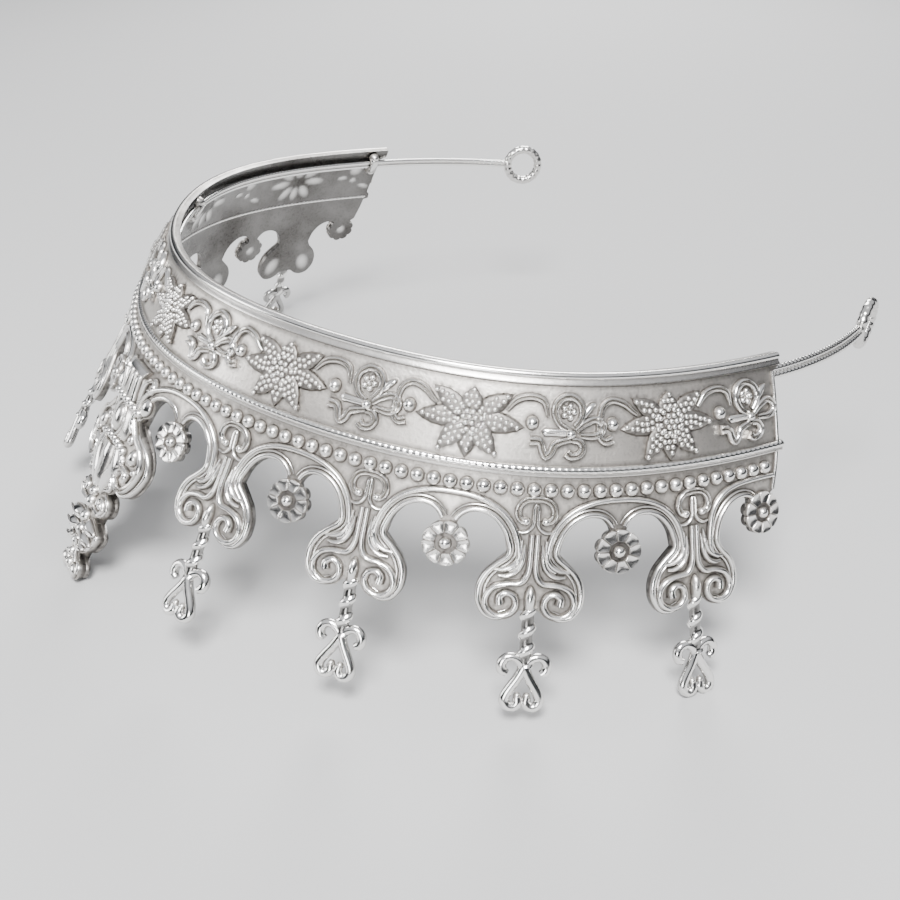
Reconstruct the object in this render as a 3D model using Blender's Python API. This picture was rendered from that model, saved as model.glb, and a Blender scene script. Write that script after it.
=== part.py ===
"""Bridal crown: a cast silver plate bent to an open oval, with a doubled wire hairband inside it.

The crown stands on the tips of its pendants, front towards -Y, Z up, sizes in metres.
The plate is drawn flat first, in millimetres: x runs along the bead row from the front centre,
d runs down the face of the plate from the bead row. The drawing is then wrapped on to the flared
oval wall of the crown.
"""
import math

import bmesh
import bpy
import numpy as np
from mathutils import Matrix, Vector, geometry

MM = 0.001
WALL_SAMPLES = 1601

# Plan of the crown, set out along the row of beads
BEAD_PITCH = 3.0
BEADS_PER_SIDE = 47
BEAD_DIAMETER = 2.5
BEAD_HEIGHT = 1.05
HALF_ROW = BEADS_PER_SIDE * BEAD_PITCH
HALF_LENGTH = HALF_ROW + 5.0
TOP_HALF_LENGTH = HALF_LENGTH + 0.8
BEND_MEAN = 0.03334
BEND_WAVES = (0.00164, -0.00328, 0.00928)
BEND_PITCH = 3.0

# Slope of the wall and the inward set of the frieze at the top
FLARE = math.radians(20.97)
TOP_DROP = -21.2
TOP_SET_IN = 2.0

# Outward lean of the pendants below the arcade, as a slope at each pendant from the front one on
LEAN_FROM = 8.0
LEAN_SLOPES = (0.02, 0.13, 0.0, -0.02, 0.0)

# Casting
BACK = -0.6
GROUND = 0.6
STATION = 10.0
MERGE = 0.12
MITRE_LEAST = 0.6
BACK_ROWS = 3
BRIDGE_ROUNDS = 6
SMOOTH_ANGLE = math.radians(32.0)

# Rims
TOP_LIP_DROP = -20.9
TOP_LIP_HEIGHT = 0.8
TOP_CREST_DROP = -19.7
TOP_CREST_HEIGHT = 0.95
TOP_FOOT_DROP = -18.4
SECOND_RIM_DROPS = (-4.35, -3.6, -2.9)
SECOND_RIM_HEIGHT = 0.75
EDGE_CREST = 0.5
EDGE_WIDTH = 1.05
EDGE_HEIGHT = 0.5

# Frieze
FRIEZE_STEP = 19.6
FLOWER_DROP = -11.9
FLOWER_HEIGHT = 1.3
FLOWER_REACH = 7
PETAL_CREST = 0.6
RIBBON_HALF = 0.5
RIBBON_HEIGHT = 0.6
TENDRIL_HALF = 0.45
TENDRIL_HEIGHT = 0.5
LEAF_WIDEST = 0.55
BERRY_RADIUS = 1.25
BERRY_HEIGHT = 1.0

# Arcade
FIRST_PENDANT = 32.4
PENDANT_PITCH = 29.9
PENDANTS_PER_SIDE = 4
ARCH_HALF = 12.55
ARCH_TOP = 1.7
ARCH_FOOT = 13.0
ARCH_POWER = 2.4
ARCH_STEPS = 7
ARCH_LINE_HALF = 0.45
ARCH_LINE_HEIGHT = 0.6
CUSP_BESIDE_FRONT = 16.8
ROSETTE_DROP = 11.3
ROSETTE_RADIUS = 4.15
ROSETTE_PETALS = 9
ROSETTE_HEIGHT = 0.8
ROSETTE_RINGS = ((0.0, 1.0), (0.28, 0.8), (0.48, -0.1), (0.76, 0.55), (1.0, 0.0))
ROSETTE_NOTCH = 0.84
END_ROSETTE = 138.1
END_ROSETTE_DROP = 8.6

# Pendants
LINE_HALF = 0.42
LINE_HEIGHT = 0.6
VOLUTE_RADIUS = 2.9
VOLUTE_COILS = 1.9
VOLUTE_CREST = 0.35
VOLUTE_EYE = 0.22
VOLUTE_STEPS = 6
VOLUTE_TURNS = 1.4
VOLUTE_HEIGHT = 0.85
FRONT_VOLUTE_RADIUS = 3.1
BAND_HALF = 0.75
CAPSULE_HEIGHT = 1.0
ROD_HALF = 1.0
ROD_HEIGHT = 0.9
SCROLL_HALF = 0.62
SCROLL_HEIGHT = 0.5
FOOT_CUT = 0.9
CUT_NEARNESS = 1e-7
TILT_REACH = math.radians(20.0)
TILT_STEPS = 40

# Bulk of the large front pendant over the plate's own thickness
SWELL = 1.8
SWELL_DROPS = (1.0, 4.0, 47.0, 53.0)
SWELL_SHARES = (0.0, 1.0, 1.0, 0.7)
SWELL_HALF = 16.0

# Hairband: one wire laid double, ended by two loops
WIRE_DIAMETER = 1.35
WIRE_CLEARANCE = 0.4
WIRE_DROP = -17.0
TAIL_LENGTH = 43.4
TAIL_BEND = 0.0100
LOOP_OUTER = 11.8
LOOP_WIRE = 2.0
WIRE_STATION = 15.0
LOOP_STEPS = 12
LOOP_SIDES = 5

# Binding clips
CLIP_WIDTH = 2.2
CLIP_THICK = 0.6
CLIP_GAP = 0.35
CLIP_END = 1.0
CLIP_AT_END = 141.8
CLIP_AT_FRONT = 60.0


def pendant_places():
    """Centre lines of the side pendants of one half, from the front to the end."""
    return [FIRST_PENDANT + index * PENDANT_PITCH for index in range(PENDANTS_PER_SIDE)]


def clear_scene():
    """Empty the file of its starting objects."""
    for item in list(bpy.data.objects):
        bpy.data.objects.remove(item, do_unlink=True)


def silver(name, color, roughness):
    """Make one silver material."""
    material = bpy.data.materials.new(name)
    material.use_nodes = True
    shader = material.node_tree.nodes["Principled BSDF"]
    shader.inputs["Base Color"].default_value = (*color, 1.0)
    shader.inputs["Metallic"].default_value = 1.0
    shader.inputs["Roughness"].default_value = roughness
    return material


def cast_silver():
    """Old cast silver of the plate."""
    return silver("cast_silver", (0.78, 0.76, 0.72), 0.34)


def wire_silver():
    """Drawn silver wire of the hairband."""
    return silver("wire_silver", (0.70, 0.68, 0.63), 0.38)


def clip_silver():
    """Silver of the binding clips."""
    return silver("clip_silver", (0.66, 0.64, 0.60), 0.42)


class Wall:
    """The flared wall of the crown: an open oval in plan, leaning outwards to the foot."""

    def __init__(self):
        reach = HALF_LENGTH + TAIL_LENGTH + LOOP_OUTER * 2
        self.x = np.linspace(-reach, reach, WALL_SAMPLES)
        heading = self.heading(self.x)
        step = self.x[1] - self.x[0]
        self.plan_x = self.running_sum(np.cos(heading), step)
        self.plan_y = self.running_sum(np.sin(heading), step)

    def running_sum(self, values, step):
        """Integrate sampled values so that the front centre is zero."""
        total = np.concatenate([[0.0], np.cumsum((values[1:] + values[:-1]) / 2 * step)])
        return total - np.interp(0.0, self.x, total)

    def heading(self, x):
        """Direction of the plan curve; past the plate's ends the tails bend evenly."""
        x = np.asarray(x, dtype=float)
        inside = np.clip(x, -HALF_LENGTH, HALF_LENGTH)
        turn = BEND_MEAN * inside
        for order, wave in enumerate(BEND_WAVES, start=1):
            rate = order * math.pi / HALF_ROW
            turn = turn + wave / rate * np.sin(rate * inside)
        return turn / BEND_PITCH + (x - inside) * TAIL_BEND

    def place(self, x, drop, height):
        """Wrap drawing points on to the wall; the result is in metres before the crown is stood up."""
        x = np.asarray(x, dtype=float)
        drop = np.asarray(drop, dtype=float)
        height = np.asarray(height, dtype=float)
        heading = self.heading(x)
        set_in = TOP_SET_IN * (np.minimum(drop, 0.0) / TOP_DROP) ** 2
        slope = np.interp(np.abs(x), [0.0] + pendant_places(), LEAN_SLOPES)
        face = height - set_in + slope * np.maximum(drop - LEAN_FROM, 0.0)
        out = drop * math.sin(FLARE) + face * math.cos(FLARE)
        up = -drop * math.cos(FLARE) + face * math.sin(FLARE)
        plan_x = np.interp(x, self.x, self.plan_x) + np.sin(heading) * out
        plan_y = np.interp(x, self.x, self.plan_y) - np.cos(heading) * out
        return np.stack([plan_x, plan_y, up], axis=-1) * MM


def offset_line(points, distance, closed=False):
    """Shift a polyline sideways, mitring its corners; positive is to the left of its direction."""
    points = np.asarray(points, dtype=float)
    if closed:
        ahead = np.roll(points, -1, axis=0) - points
        behind = points - np.roll(points, 1, axis=0)
    else:
        steps = points[1:] - points[:-1]
        ahead = np.vstack([steps, steps[-1]])
        behind = np.vstack([steps[0], steps])
    ahead = ahead / np.linalg.norm(ahead, axis=1)[:, None]
    behind = behind / np.linalg.norm(behind, axis=1)[:, None]
    normal = np.stack([-(ahead + behind)[:, 1], (ahead + behind)[:, 0]], axis=1)
    normal = normal / np.linalg.norm(normal, axis=1)[:, None]
    side = np.stack([-ahead[:, 1], ahead[:, 0]], axis=1)
    mitre = np.maximum((normal * side).sum(axis=1), MITRE_LEAST)
    return points + normal * (distance / mitre)[:, None]


def nearest_on_line(queries, line):
    """Return each query's distance from a polyline and the run along it of the nearest point."""
    start = line[:-1]
    step = line[1:] - line[:-1]
    length = np.linalg.norm(step, axis=1)
    to_query = queries[:, None, :] - start[None, :, :]
    share = np.clip((to_query * step).sum(axis=2) / (length ** 2), 0.0, 1.0)
    gap = to_query - share[:, :, None] * step
    distance = np.sqrt((gap ** 2).sum(axis=2))
    best = distance.argmin(axis=1)
    rows = np.arange(len(queries))
    run = np.concatenate([[0.0], np.cumsum(length)])
    return distance[rows, best], run[best] + share[rows, best] * length[best]


def inside_polygon(queries, polygon):
    """True for the queries inside a closed polygon, counting its windings."""
    x = queries[:, 0][:, None]
    y = queries[:, 1][:, None]
    ax, ay = polygon[:, 0], polygon[:, 1]
    bx, by = np.roll(ax, -1), np.roll(ay, -1)
    side = (bx - ax) * (y - ay) - (x - ax) * (by - ay)
    up = (ay <= y) & (by > y) & (side > 0)
    down = (ay > y) & (by <= y) & (side < 0)
    return (up.sum(axis=1) - down.sum(axis=1)) != 0


def mirrored(points):
    """Mirror drawing points across their own centre line."""
    return [(-x, d) for x, d in points]


def moved(points, x, drop=0.0):
    """Shift drawing points."""
    return [(px + x, pd + drop) for px, pd in points]


class Drawing:
    """Flat drawing of the plate: outlines, fold lines and the relief that stands on the ground."""

    def __init__(self):
        self.points = []
        self.edges = []
        self.outlines = []
        self.reliefs = []

    def line(self, points, closed=False):
        """Add a fold line."""
        first = len(self.points)
        count = len(points)
        self.points.extend((float(x), float(d)) for x, d in points)
        last = count if closed else count - 1
        self.edges.extend((first + i, first + (i + 1) % count) for i in range(last))

    def dot(self, x, drop):
        """Add a single point."""
        self.points.append((float(x), float(drop)))

    def outline(self, points):
        """Add a piece of the plate's own outline."""
        self.line(points, closed=True)
        self.outlines.append(np.array(points, dtype=float))

    def ridge(self, points, half, height, solid=False, taper=True):
        """Add a roof-shaped ridge along a line, pointed at both ends; a solid one stands free."""
        line = np.array(points, dtype=float)
        left = offset_line(line, half)[1:-1]
        right = offset_line(line, -half)[1:-1]
        shape = np.vstack([line[:1], left, line[-1:], right[::-1]])
        if solid:
            self.outline(shape)
        else:
            self.line(shape, closed=True)
        self.line(line)
        total = np.linalg.norm(line[1:] - line[:-1], axis=1)
        low, high = line.min(axis=0) - half, line.max(axis=0) + half

        def relief(queries):
            rise = np.zeros(len(queries))
            near = ((queries >= low) & (queries <= high)).all(axis=1)
            if near.any():
                distance, run = nearest_on_line(queries[near], line)
                value = np.clip(1.0 - distance / half, 0.0, 1.0)
                if taper:
                    value = value * np.clip(run / total[0], 0.0, 1.0)
                    value = value * np.clip((total.sum() - run) / total[-1], 0.0, 1.0)
                rise[near] = value * height
            return rise

        self.reliefs.append(relief)

    def edge_rim(self, points):
        """Raise a rim just inside part of the outline; the plate lies on the line's left."""
        line = np.array(points, dtype=float)
        self.line(offset_line(line, EDGE_CREST))
        self.line(offset_line(line, EDGE_WIDTH))

        def relief(queries):
            distance, _ = nearest_on_line(queries, line)
            return np.interp(distance, [0.0, EDGE_CREST, EDGE_WIDTH], [1.0, 1.0, 0.0]) * EDGE_HEIGHT

        self.reliefs.append(relief)

    def boss(self, x, drop, across, down, height, sides):
        """Add a pointed boss with a polygonal foot."""
        angles = 2 * math.pi * np.arange(sides) / sides
        foot = np.stack([x + across * np.cos(angles), drop + down * np.sin(angles)], axis=1)
        self.line(foot, closed=True)
        self.dot(x, drop)
        flat = math.cos(math.pi / sides)

        def relief(queries):
            px = (queries[:, 0] - x) / across
            pd = (queries[:, 1] - drop) / down
            sector = np.mod(np.arctan2(pd, px), 2 * math.pi / sides) - math.pi / sides
            share = np.hypot(px, pd) * np.cos(sector) / flat
            return np.clip(1.0 - share, 0.0, 1.0) * height

        self.reliefs.append(relief)

    def leaf(self, base, tip, half, height):
        """Add a pointed leaf with a raised midrib."""
        base, tip = np.array(base, dtype=float), np.array(tip, dtype=float)
        axis = tip - base
        length = np.linalg.norm(axis)
        axis = axis / length
        side = np.array([-axis[1], axis[0]])
        widest = base + axis * length * LEAF_WIDEST
        self.line([base, widest + side * half, tip, widest - side * half], closed=True)
        self.line([base, widest, tip])

        def relief(queries):
            run = (queries - base) @ axis / length
            off = np.abs((queries - base) @ side)
            room = np.interp(run, [0.0, LEAF_WIDEST, 1.0], [0.0, half, 0.0])
            rise = np.interp(run, [0.0, LEAF_WIDEST, 1.0], [0.0, 1.0, 0.0])
            return np.where(off < room, rise * (1.0 - off / np.maximum(room, MERGE)), 0.0) * height

        self.reliefs.append(relief)

    def star(self, x, drop, tips, notches, height):
        """Add an open flower: a ribbed petal to every tip, a valley to every notch between."""
        tips = np.array(tips, dtype=float)
        reach = np.hypot(tips[:, 0], tips[:, 1])
        ways = tips / reach[:, None]
        between = ways + np.roll(ways, -1, axis=0)
        between = between / np.linalg.norm(between, axis=1)[:, None]
        hollows = between * np.array(notches)[:, None]
        centre = np.array([x, drop])
        self.line(centre + np.stack([tips, hollows], axis=1).reshape(-1, 2), closed=True)
        for tip, hollow in zip(tips, hollows):
            self.line([centre, centre + tip * PETAL_CREST, centre + tip])
            self.line([centre, centre + hollow])
        near = (np.linalg.norm(hollows, axis=1) / reach).mean()
        half = (np.array(notches) * np.abs(np.cross(ways, between))).mean()

        def relief(queries):
            offset = queries - centre
            run = offset @ ways.T / reach
            off = np.abs(offset @ np.stack([-ways[:, 1], ways[:, 0]]))
            room = np.interp(run, [0.0, near, 1.0], [MERGE, half, 0.0])
            rise = np.interp(run, [0.0, PETAL_CREST, 1.0], [1.0, 1.0, 0.0])
            value = np.where((off < room) & (run > -MERGE), rise * (1.0 - off / np.maximum(room, MERGE)), 0.0)
            return value.max(axis=1) * height

        self.reliefs.append(relief)

    def volute(self, x, drop, radius, height, sense, start, turns):
        """Add a spiral coil inside a circle; sense +1 winds clockwise on the drawing."""
        pitch = radius / VOLUTE_COILS
        wound = np.arange(int(round(turns * VOLUTE_STEPS)) + 1) / VOLUTE_STEPS
        angles = start + sense * wound * 2 * math.pi
        sines = np.stack([np.cos(angles), np.sin(angles)], axis=1)
        centre = np.array([x, drop])
        for phase in (VOLUTE_CREST, VOLUTE_CREST + 0.5):
            far = radius - pitch * (wound + phase)
            keep = far > pitch * VOLUTE_EYE
            self.line(centre + sines[keep] * far[keep][:, None])

        def relief(queries):
            offset = queries - centre
            far = np.hypot(offset[:, 0], offset[:, 1])
            angle = sense * (np.arctan2(offset[:, 1], offset[:, 0]) - start)
            phase = (radius - far) / pitch - np.mod(angle, 2 * math.pi) / (2 * math.pi) - VOLUTE_CREST
            wave = np.abs(np.mod(phase + 0.5, 1.0) - 0.5) * 2
            return np.where(far < radius, 1.0 - wave, 0.0) * height

        self.reliefs.append(relief)

    def heights(self, queries):
        """Height of the front face at drawing points away from the outline."""
        rise = np.zeros(len(queries))
        for relief in self.reliefs:
            rise = np.maximum(rise, relief(queries))
        return GROUND + rise


def stations():
    """Even stations along the plate, ends left out."""
    count = 2 * int(HALF_ROW // STATION)
    return np.linspace(-HALF_ROW, HALF_ROW, count + 1)


def cusps():
    """Positions of the arch centres, where the rosettes hang between two pendants."""
    half = [CUSP_BESIDE_FRONT] + [x + PENDANT_PITCH / 2 for x in pendant_places()[:-1]]
    return [-x for x in half[::-1]] + half


def arch_edge():
    """Edge of one opening, from the cusp out to the neck of the pendant, relative to the cusp."""
    return [(1.35, 8.2), (1.65, 6.8), (3.0, 5.25), (5.2, 4.95), (7.9, 6.0), (9.8, 8.6), (10.45, 11.6)]


def pendant_edge():
    """Right-hand edge of a side pendant's heart, relative to its centre line, downwards."""
    return [(6.3, 13.4), (8.2, 15.6), (9.1, 18.6), (8.8, 21.5), (7.4, 23.7), (5.3, 24.4), (3.2, 23.6),
            (1.8, 22.3)]


def front_edge():
    """Right-hand edge of the large front pendant, relative to its centre line, downwards."""
    return [(6.0, 13.0), (9.2, 14.9), (12.2, 17.0), (13.7, 20.0), (13.2, 23.2), (11.2, 26.7),
            (8.3, 28.6), (5.6, 28.1), (4.2, 28.6), (4.1, 30.3), (5.6, 31.3), (6.4, 33.1),
            (5.6, 35.1), (3.2, 36.8), (3.0, 37.9), (6.3, 39.3), (6.0, 41.8), (4.2, 44.3),
            (1.8, 46.0), (1.5, 47.4), (3.5, 48.5), (3.9, 50.3), (2.6, 52.1), (1.0, 52.8)]


def end_edge():
    """Slanting edge at the plate's end, upwards, relative to the length of the top rim."""
    return [(-5.0, 4.6), (-3.9, 0.4), (-3.4, SECOND_RIM_DROPS[2] + 0.4), (-2.0, SECOND_RIM_DROPS[2]),
            (-2.0, SECOND_RIM_DROPS[0]), (-2.9, SECOND_RIM_DROPS[0] - 0.5), (-1.8, TOP_FOOT_DROP + 0.6),
            (0.0, TOP_FOOT_DROP - 0.2), (0.0, TOP_DROP)]


def half_boundary():
    """Lower and end boundary of the right half, from the front centre line to the top corner."""
    path = front_edge()[::-1]
    for cusp, centre in zip([c for c in cusps() if c > 0], pendant_places()):
        path += [(cusp - x, d) for x, d in arch_edge()[::-1]]
        path += [(cusp + x, d) for x, d in arch_edge()]
        path += [(centre - x, d) for x, d in pendant_edge()]
        path += [(centre + x, d) for x, d in pendant_edge()[::-1]]
    path += [(END_ROSETTE - x, d) for x, d in arch_edge()[::-1]]
    path += [(TOP_HALF_LENGTH + x, d) for x, d in end_edge()]
    return path


def draw_body(sheet):
    """Outline of the plate with its rims."""
    right = half_boundary()
    left = mirrored(right)
    top = [(x, TOP_DROP) for x in stations()[::-1]]
    sheet.outline(left[::-1] + right + top)
    sheet.edge_rim((left[::-1] + right)[::-1])
    for drop in (TOP_LIP_DROP, TOP_CREST_DROP, TOP_FOOT_DROP) + SECOND_RIM_DROPS:
        sheet.line([(x, drop) for x in stations()])

    def rims(queries):
        drop = queries[:, 1]
        top_rise = np.interp(drop, [TOP_DROP, TOP_LIP_DROP, TOP_CREST_DROP, TOP_FOOT_DROP],
                             [TOP_LIP_HEIGHT, TOP_LIP_HEIGHT, TOP_CREST_HEIGHT, 0.0])
        second = np.interp(drop, SECOND_RIM_DROPS, [0.0, SECOND_RIM_HEIGHT, 0.0])
        return top_rise + second

    sheet.reliefs.append(rims)


def draw_beads(sheet):
    """Row of beads under the second rim, each a low pyramid that meets its neighbours in a valley."""
    valleys = [index * BEAD_PITCH for index in range(-BEADS_PER_SIDE, BEADS_PER_SIDE + 1)]
    half = BEAD_DIAMETER / 2
    for drop in (-half, half):
        sheet.line([(x, drop) for x in valleys])
    for x in valleys:
        sheet.line([(x, -half), (x, half)])

    def relief(queries):
        share = np.abs(np.mod(queries[:, 0] / BEAD_PITCH, 1.0) - 0.5) * 2
        across = np.abs(queries[:, 1]) / half
        rise = 1.0 - np.maximum(share, across)
        return np.where(np.abs(queries[:, 0]) < HALF_ROW, np.clip(rise, 0.0, 1.0), 0.0) * BEAD_HEIGHT

    sheet.reliefs.append(relief)
    for index in range(-BEADS_PER_SIDE, BEADS_PER_SIDE):
        x = (index + 0.5) * BEAD_PITCH
        sheet.dot(x, 0.0)


def draw_flower(sheet, x):
    """One eight-petalled flower of the frieze with its two berries and tendrils."""
    petals = [(10.5, 1.4), (5.6, 6.4), (0.0, 7.6), (-5.6, 6.4), (-10.5, 1.4), (-7.9, -4.6),
              (0.0, -5.3), (7.9, -4.6)]
    notches = [4.2, 3.8, 3.8, 4.2, 3.6, 3.0, 3.0, 3.6]
    sheet.star(x, FLOWER_DROP, petals, notches, FLOWER_HEIGHT)
    for side in (-1, 1):
        sheet.boss(x + side * 11.9, FLOWER_DROP - 0.2, BERRY_RADIUS, BERRY_RADIUS, BERRY_HEIGHT, 5)
    right = [(7.4, -2.6), (11.5, -4.8), (14.6, -1.4)]
    left = [(-7.4, -2.6), (-11.0, -4.9), (-14.0, -1.4), (-12.4, 2.7)]
    for stem in (right, left):
        sheet.ridge(moved(stem, x, FLOWER_DROP), TENDRIL_HALF, TENDRIL_HEIGHT)


def draw_bow(sheet, x):
    """One tied ribbon bow of the frieze."""
    loops = [
        [(-1.2, -11.1), (-3.5, -13.2), (-2.9, -16.0), (0.2, -16.0), (0.6, -12.4)],
        [(0.9, -10.9), (4.4, -12.5), (5.2, -10.4), (1.3, -9.9)],
        [(0.2, -9.3), (-3.0, -8.3), (-4.9, -6.6), (-7.5, -8.4)],
        [(0.6, -9.2), (2.2, -7.2), (-1.0, -6.3)],
    ]
    for loop in loops:
        sheet.ridge(moved(loop, x), RIBBON_HALF, RIBBON_HEIGHT)
    sheet.leaf((x + 1.1, -12.3), (x + 3.8, -15.6), 0.9, RIBBON_HEIGHT)
    sheet.leaf((x - 1.3, -10.4), (x - 6.2, -10.5), 0.75, RIBBON_HEIGHT)
    sheet.boss(x - 0.3, -10.3, 1.1, 1.0, BERRY_HEIGHT, 6)


def draw_frieze(sheet):
    """Flowers and bows by turns between the two upper rims."""
    for index in range(-FLOWER_REACH, FLOWER_REACH + 1):
        x = index * FRIEZE_STEP
        if index % 2 == 0:
            draw_flower(sheet, x)
        else:
            draw_bow(sheet, x)


def draw_arch(sheet, x):
    """Raised line over one pair of openings, curling out below on to the pendants."""
    angles = np.linspace(math.pi, 0.0, ARCH_STEPS + 1)
    cosines, sines = np.cos(angles), np.abs(np.sin(angles))
    across = ARCH_HALF * np.sign(cosines) * np.abs(cosines) ** (2 / ARCH_POWER)
    down = ARCH_FOOT - (ARCH_FOOT - ARCH_TOP) * sines ** (2 / ARCH_POWER)
    curl = [(9.0, 15.2), (11.7, 14.8)]
    line = mirrored(curl) + list(zip(across, down)) + curl[::-1]
    sheet.ridge(moved(line, x), ARCH_LINE_HALF, ARCH_LINE_HEIGHT)


def draw_rosette(sheet, x, drop):
    """Round rosette hanging on the cusp between two openings."""
    centre = np.array([x, drop])
    angles = math.pi * np.arange(2 * ROSETTE_PETALS) / ROSETTE_PETALS
    reach = np.where(np.arange(2 * ROSETTE_PETALS) % 2 == 0, 1.0, ROSETTE_NOTCH) * ROSETTE_RADIUS
    edge = centre + np.stack([np.cos(angles), np.sin(angles)], axis=1) * reach[:, None]
    sheet.outline(edge)
    shares, levels = np.array(ROSETTE_RINGS).T
    sheet.line(centre + (edge[::2] - centre) * shares[3], closed=True)
    sheet.line(centre + (edge[::4] - centre) * shares[2], closed=True)
    sheet.dot(x, drop)

    def relief(queries):
        far = np.hypot(queries[:, 0] - x, queries[:, 1] - drop) / ROSETTE_RADIUS
        return np.interp(far, shares, levels) * ROSETTE_HEIGHT

    sheet.reliefs.append(relief)


def draw_omega(sheet, x):
    """Horseshoe line with a stem in it, at the head of a pendant."""
    half = [(2.1, 5.6), (3.4, 4.2), (2.3, 2.1)]
    sheet.ridge(moved(half, x) + [(x, 1.6)] + moved(mirrored(half)[::-1], x), LINE_HALF, LINE_HEIGHT)
    sheet.leaf((x, 7.2), (x, 2.3), 0.8, LINE_HEIGHT)


def draw_rod(sheet, x):
    """Twisted rod under the heart."""
    rings = [(20.9, 0.95), (22.3, 1.0), (23.5, 1.5), (24.9, 1.0), (26.1, 1.0), (27.2, 1.5), (28.6, 1.0),
             (32.6, 0.9)]
    right = [(x + half, drop - (half - 1.0)) for drop, half in rings]
    left = [(x - half, drop + (half - 1.0)) for drop, half in rings]
    sheet.outline(right + left[::-1])
    sheet.line([(x, drop) for drop, _ in rings[1:-1]])

    def relief(queries):
        off = np.abs(queries[:, 0] - x)
        along = (queries[:, 1] > rings[0][0]) & (queries[:, 1] < rings[-1][0])
        return np.where(along & (off < ROD_HALF), (1.0 - off / ROD_HALF) * ROD_HEIGHT, 0.0)

    sheet.reliefs.append(relief)


def draw_finial(sheet, x):
    """Open finial: two hooks over a pair of legs that curl inwards at the foot."""
    hook = [(-0.25, 33.5), (0.7, 31.7), (2.2, 31.2), (3.5, 32.1), (3.5, 33.9)]
    leg = [(-0.3, 31.7), (0.2, 33.8), (2.4, 38.4), (1.9, 40.8), (0.6, 40.2)]
    for side in (1, -1):
        for stroke in (hook, leg):
            points = [(x + side * px, d) for px, d in stroke]
            sheet.ridge(points, SCROLL_HALF, SCROLL_HEIGHT, solid=True, taper=False)


def draw_heart(sheet, x):
    """Neck lines, volutes and capsule of a side pendant."""
    for side in (1, -1):
        stem = [(0.75, 8.3), (0.8, 14.4), (3.4, 17.4)]
        sheet.ridge([(x + side * px, d) for px, d in stem], LINE_HALF, LINE_HEIGHT)
        start = -math.pi / 2
        sheet.volute(x + side * 4.6, 20.7, VOLUTE_RADIUS, VOLUTE_HEIGHT, side, start, VOLUTE_TURNS)
    sheet.boss(x, 20.1, 0.95, 2.6, CAPSULE_HEIGHT, 8)


def draw_front(sheet):
    """Relief of the large front pendant."""
    for x in (-2.9, -1.0, 1.0, 2.9):
        sheet.ridge([(x, 2.2), (x, 5.2), (x * 1.1, 8.6)], LINE_HALF, LINE_HEIGHT)
    sheet.ridge([(-6.4, 10.4), (-3.0, 9.6), (3.0, 9.6), (6.4, 10.4)], BAND_HALF, VOLUTE_HEIGHT)
    sheet.boss(0.0, 14.1, 1.8, 3.1, CAPSULE_HEIGHT, 8)
    sheet.ridge([(-5.2, 19.2), (-2.0, 18.6), (2.0, 18.6), (5.2, 19.2)], BAND_HALF, VOLUTE_HEIGHT)
    for side in (1, -1):
        sheet.volute(side * 9.4, 22.0, FRONT_VOLUTE_RADIUS, VOLUTE_HEIGHT, side, -math.pi / 2,
                     VOLUTE_TURNS)
        sheet.ridge([(side * 5.0, 13.0), (side * 8.0, 15.4), (side * 10.6, 17.6)], LINE_HALF, LINE_HEIGHT)
        sheet.leaf((side * 0.9, 30.4), (side * 4.6, 21.2), 1.1, LINE_HEIGHT)
        sheet.boss(side * 4.0, 33.2, 1.4, 1.4, BERRY_HEIGHT, 6)
        sheet.leaf((side * 0.9, 38.8), (side * 5.2, 40.2), 0.9, LINE_HEIGHT)
        sheet.leaf((side * 0.8, 41.0), (side * 4.2, 43.4), 0.9, LINE_HEIGHT)
        sheet.boss(side * 2.0, 50.2, 1.1, 1.2, BERRY_HEIGHT, 6)
    sheet.leaf((0.0, 35.6), (0.0, 20.4), 1.3, CAPSULE_HEIGHT)
    sheet.leaf((0.0, 36.6), (0.0, 48.8), 0.9, CAPSULE_HEIGHT)


def draw_pendants(sheet):
    """All nine pendants and the arcade between them."""
    draw_front(sheet)
    for place in pendant_places():
        for x in (-place, place):
            draw_omega(sheet, x)
            draw_heart(sheet, x)
            draw_rod(sheet, x)
            draw_finial(sheet, x)
    for x in cusps():
        draw_arch(sheet, x)
        draw_rosette(sheet, x, ROSETTE_DROP)
    for x in (-END_ROSETTE, END_ROSETTE):
        draw_rosette(sheet, x, END_ROSETTE_DROP)


def draw_plate():
    """The whole flat drawing."""
    sheet = Drawing()
    draw_body(sheet)
    draw_beads(sheet)
    draw_frieze(sheet)
    draw_pendants(sheet)
    return sheet


def triangulate(points, edges, outlines):
    """Triangulate a drawing and keep the triangles inside its outlines."""
    result = geometry.delaunay_2d_cdt([Vector(p) for p in points], edges, [], 0, MERGE)
    corners = np.array([tuple(v) for v in result[0]])
    faces = np.array([tuple(f) for f in result[2]])
    middles = corners[faces].mean(axis=1)
    inside = np.zeros(len(faces), dtype=bool)
    for outline in outlines:
        low, high = outline.min(axis=0), outline.max(axis=0)
        near = ((middles >= low) & (middles <= high)).all(axis=1) & ~inside
        if near.any():
            inside[near] = inside_polygon(middles[near], outline)
    return corners, faces[inside]


def face_edges(faces):
    """Count how many of the faces use each edge."""
    counts = {}
    for a, b, c in faces:
        for start, end in ((a, b), (b, c), (c, a)):
            key = (min(start, end), max(start, end))
            counts[key] = counts.get(key, 0) + 1
    return counts


def front_layer(sheet):
    """Triangulate the front, splitting every inner edge that joins two points of the outline."""
    points = list(sheet.points)
    for _ in range(BRIDGE_ROUNDS):
        corners, faces = triangulate(points, sheet.edges, sheet.outlines)
        counts = face_edges(faces)
        rim = [edge for edge, count in counts.items() if count == 1]
        on_rim = {corner for edge in rim for corner in edge}
        bridges = [edge for edge, count in counts.items()
                   if count == 2 and edge[0] in on_rim and edge[1] in on_rim]
        if not bridges:
            break
        points += [tuple((corners[a] + corners[b]) / 2) for a, b in bridges]
    return corners, faces, rim, on_rim


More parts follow.
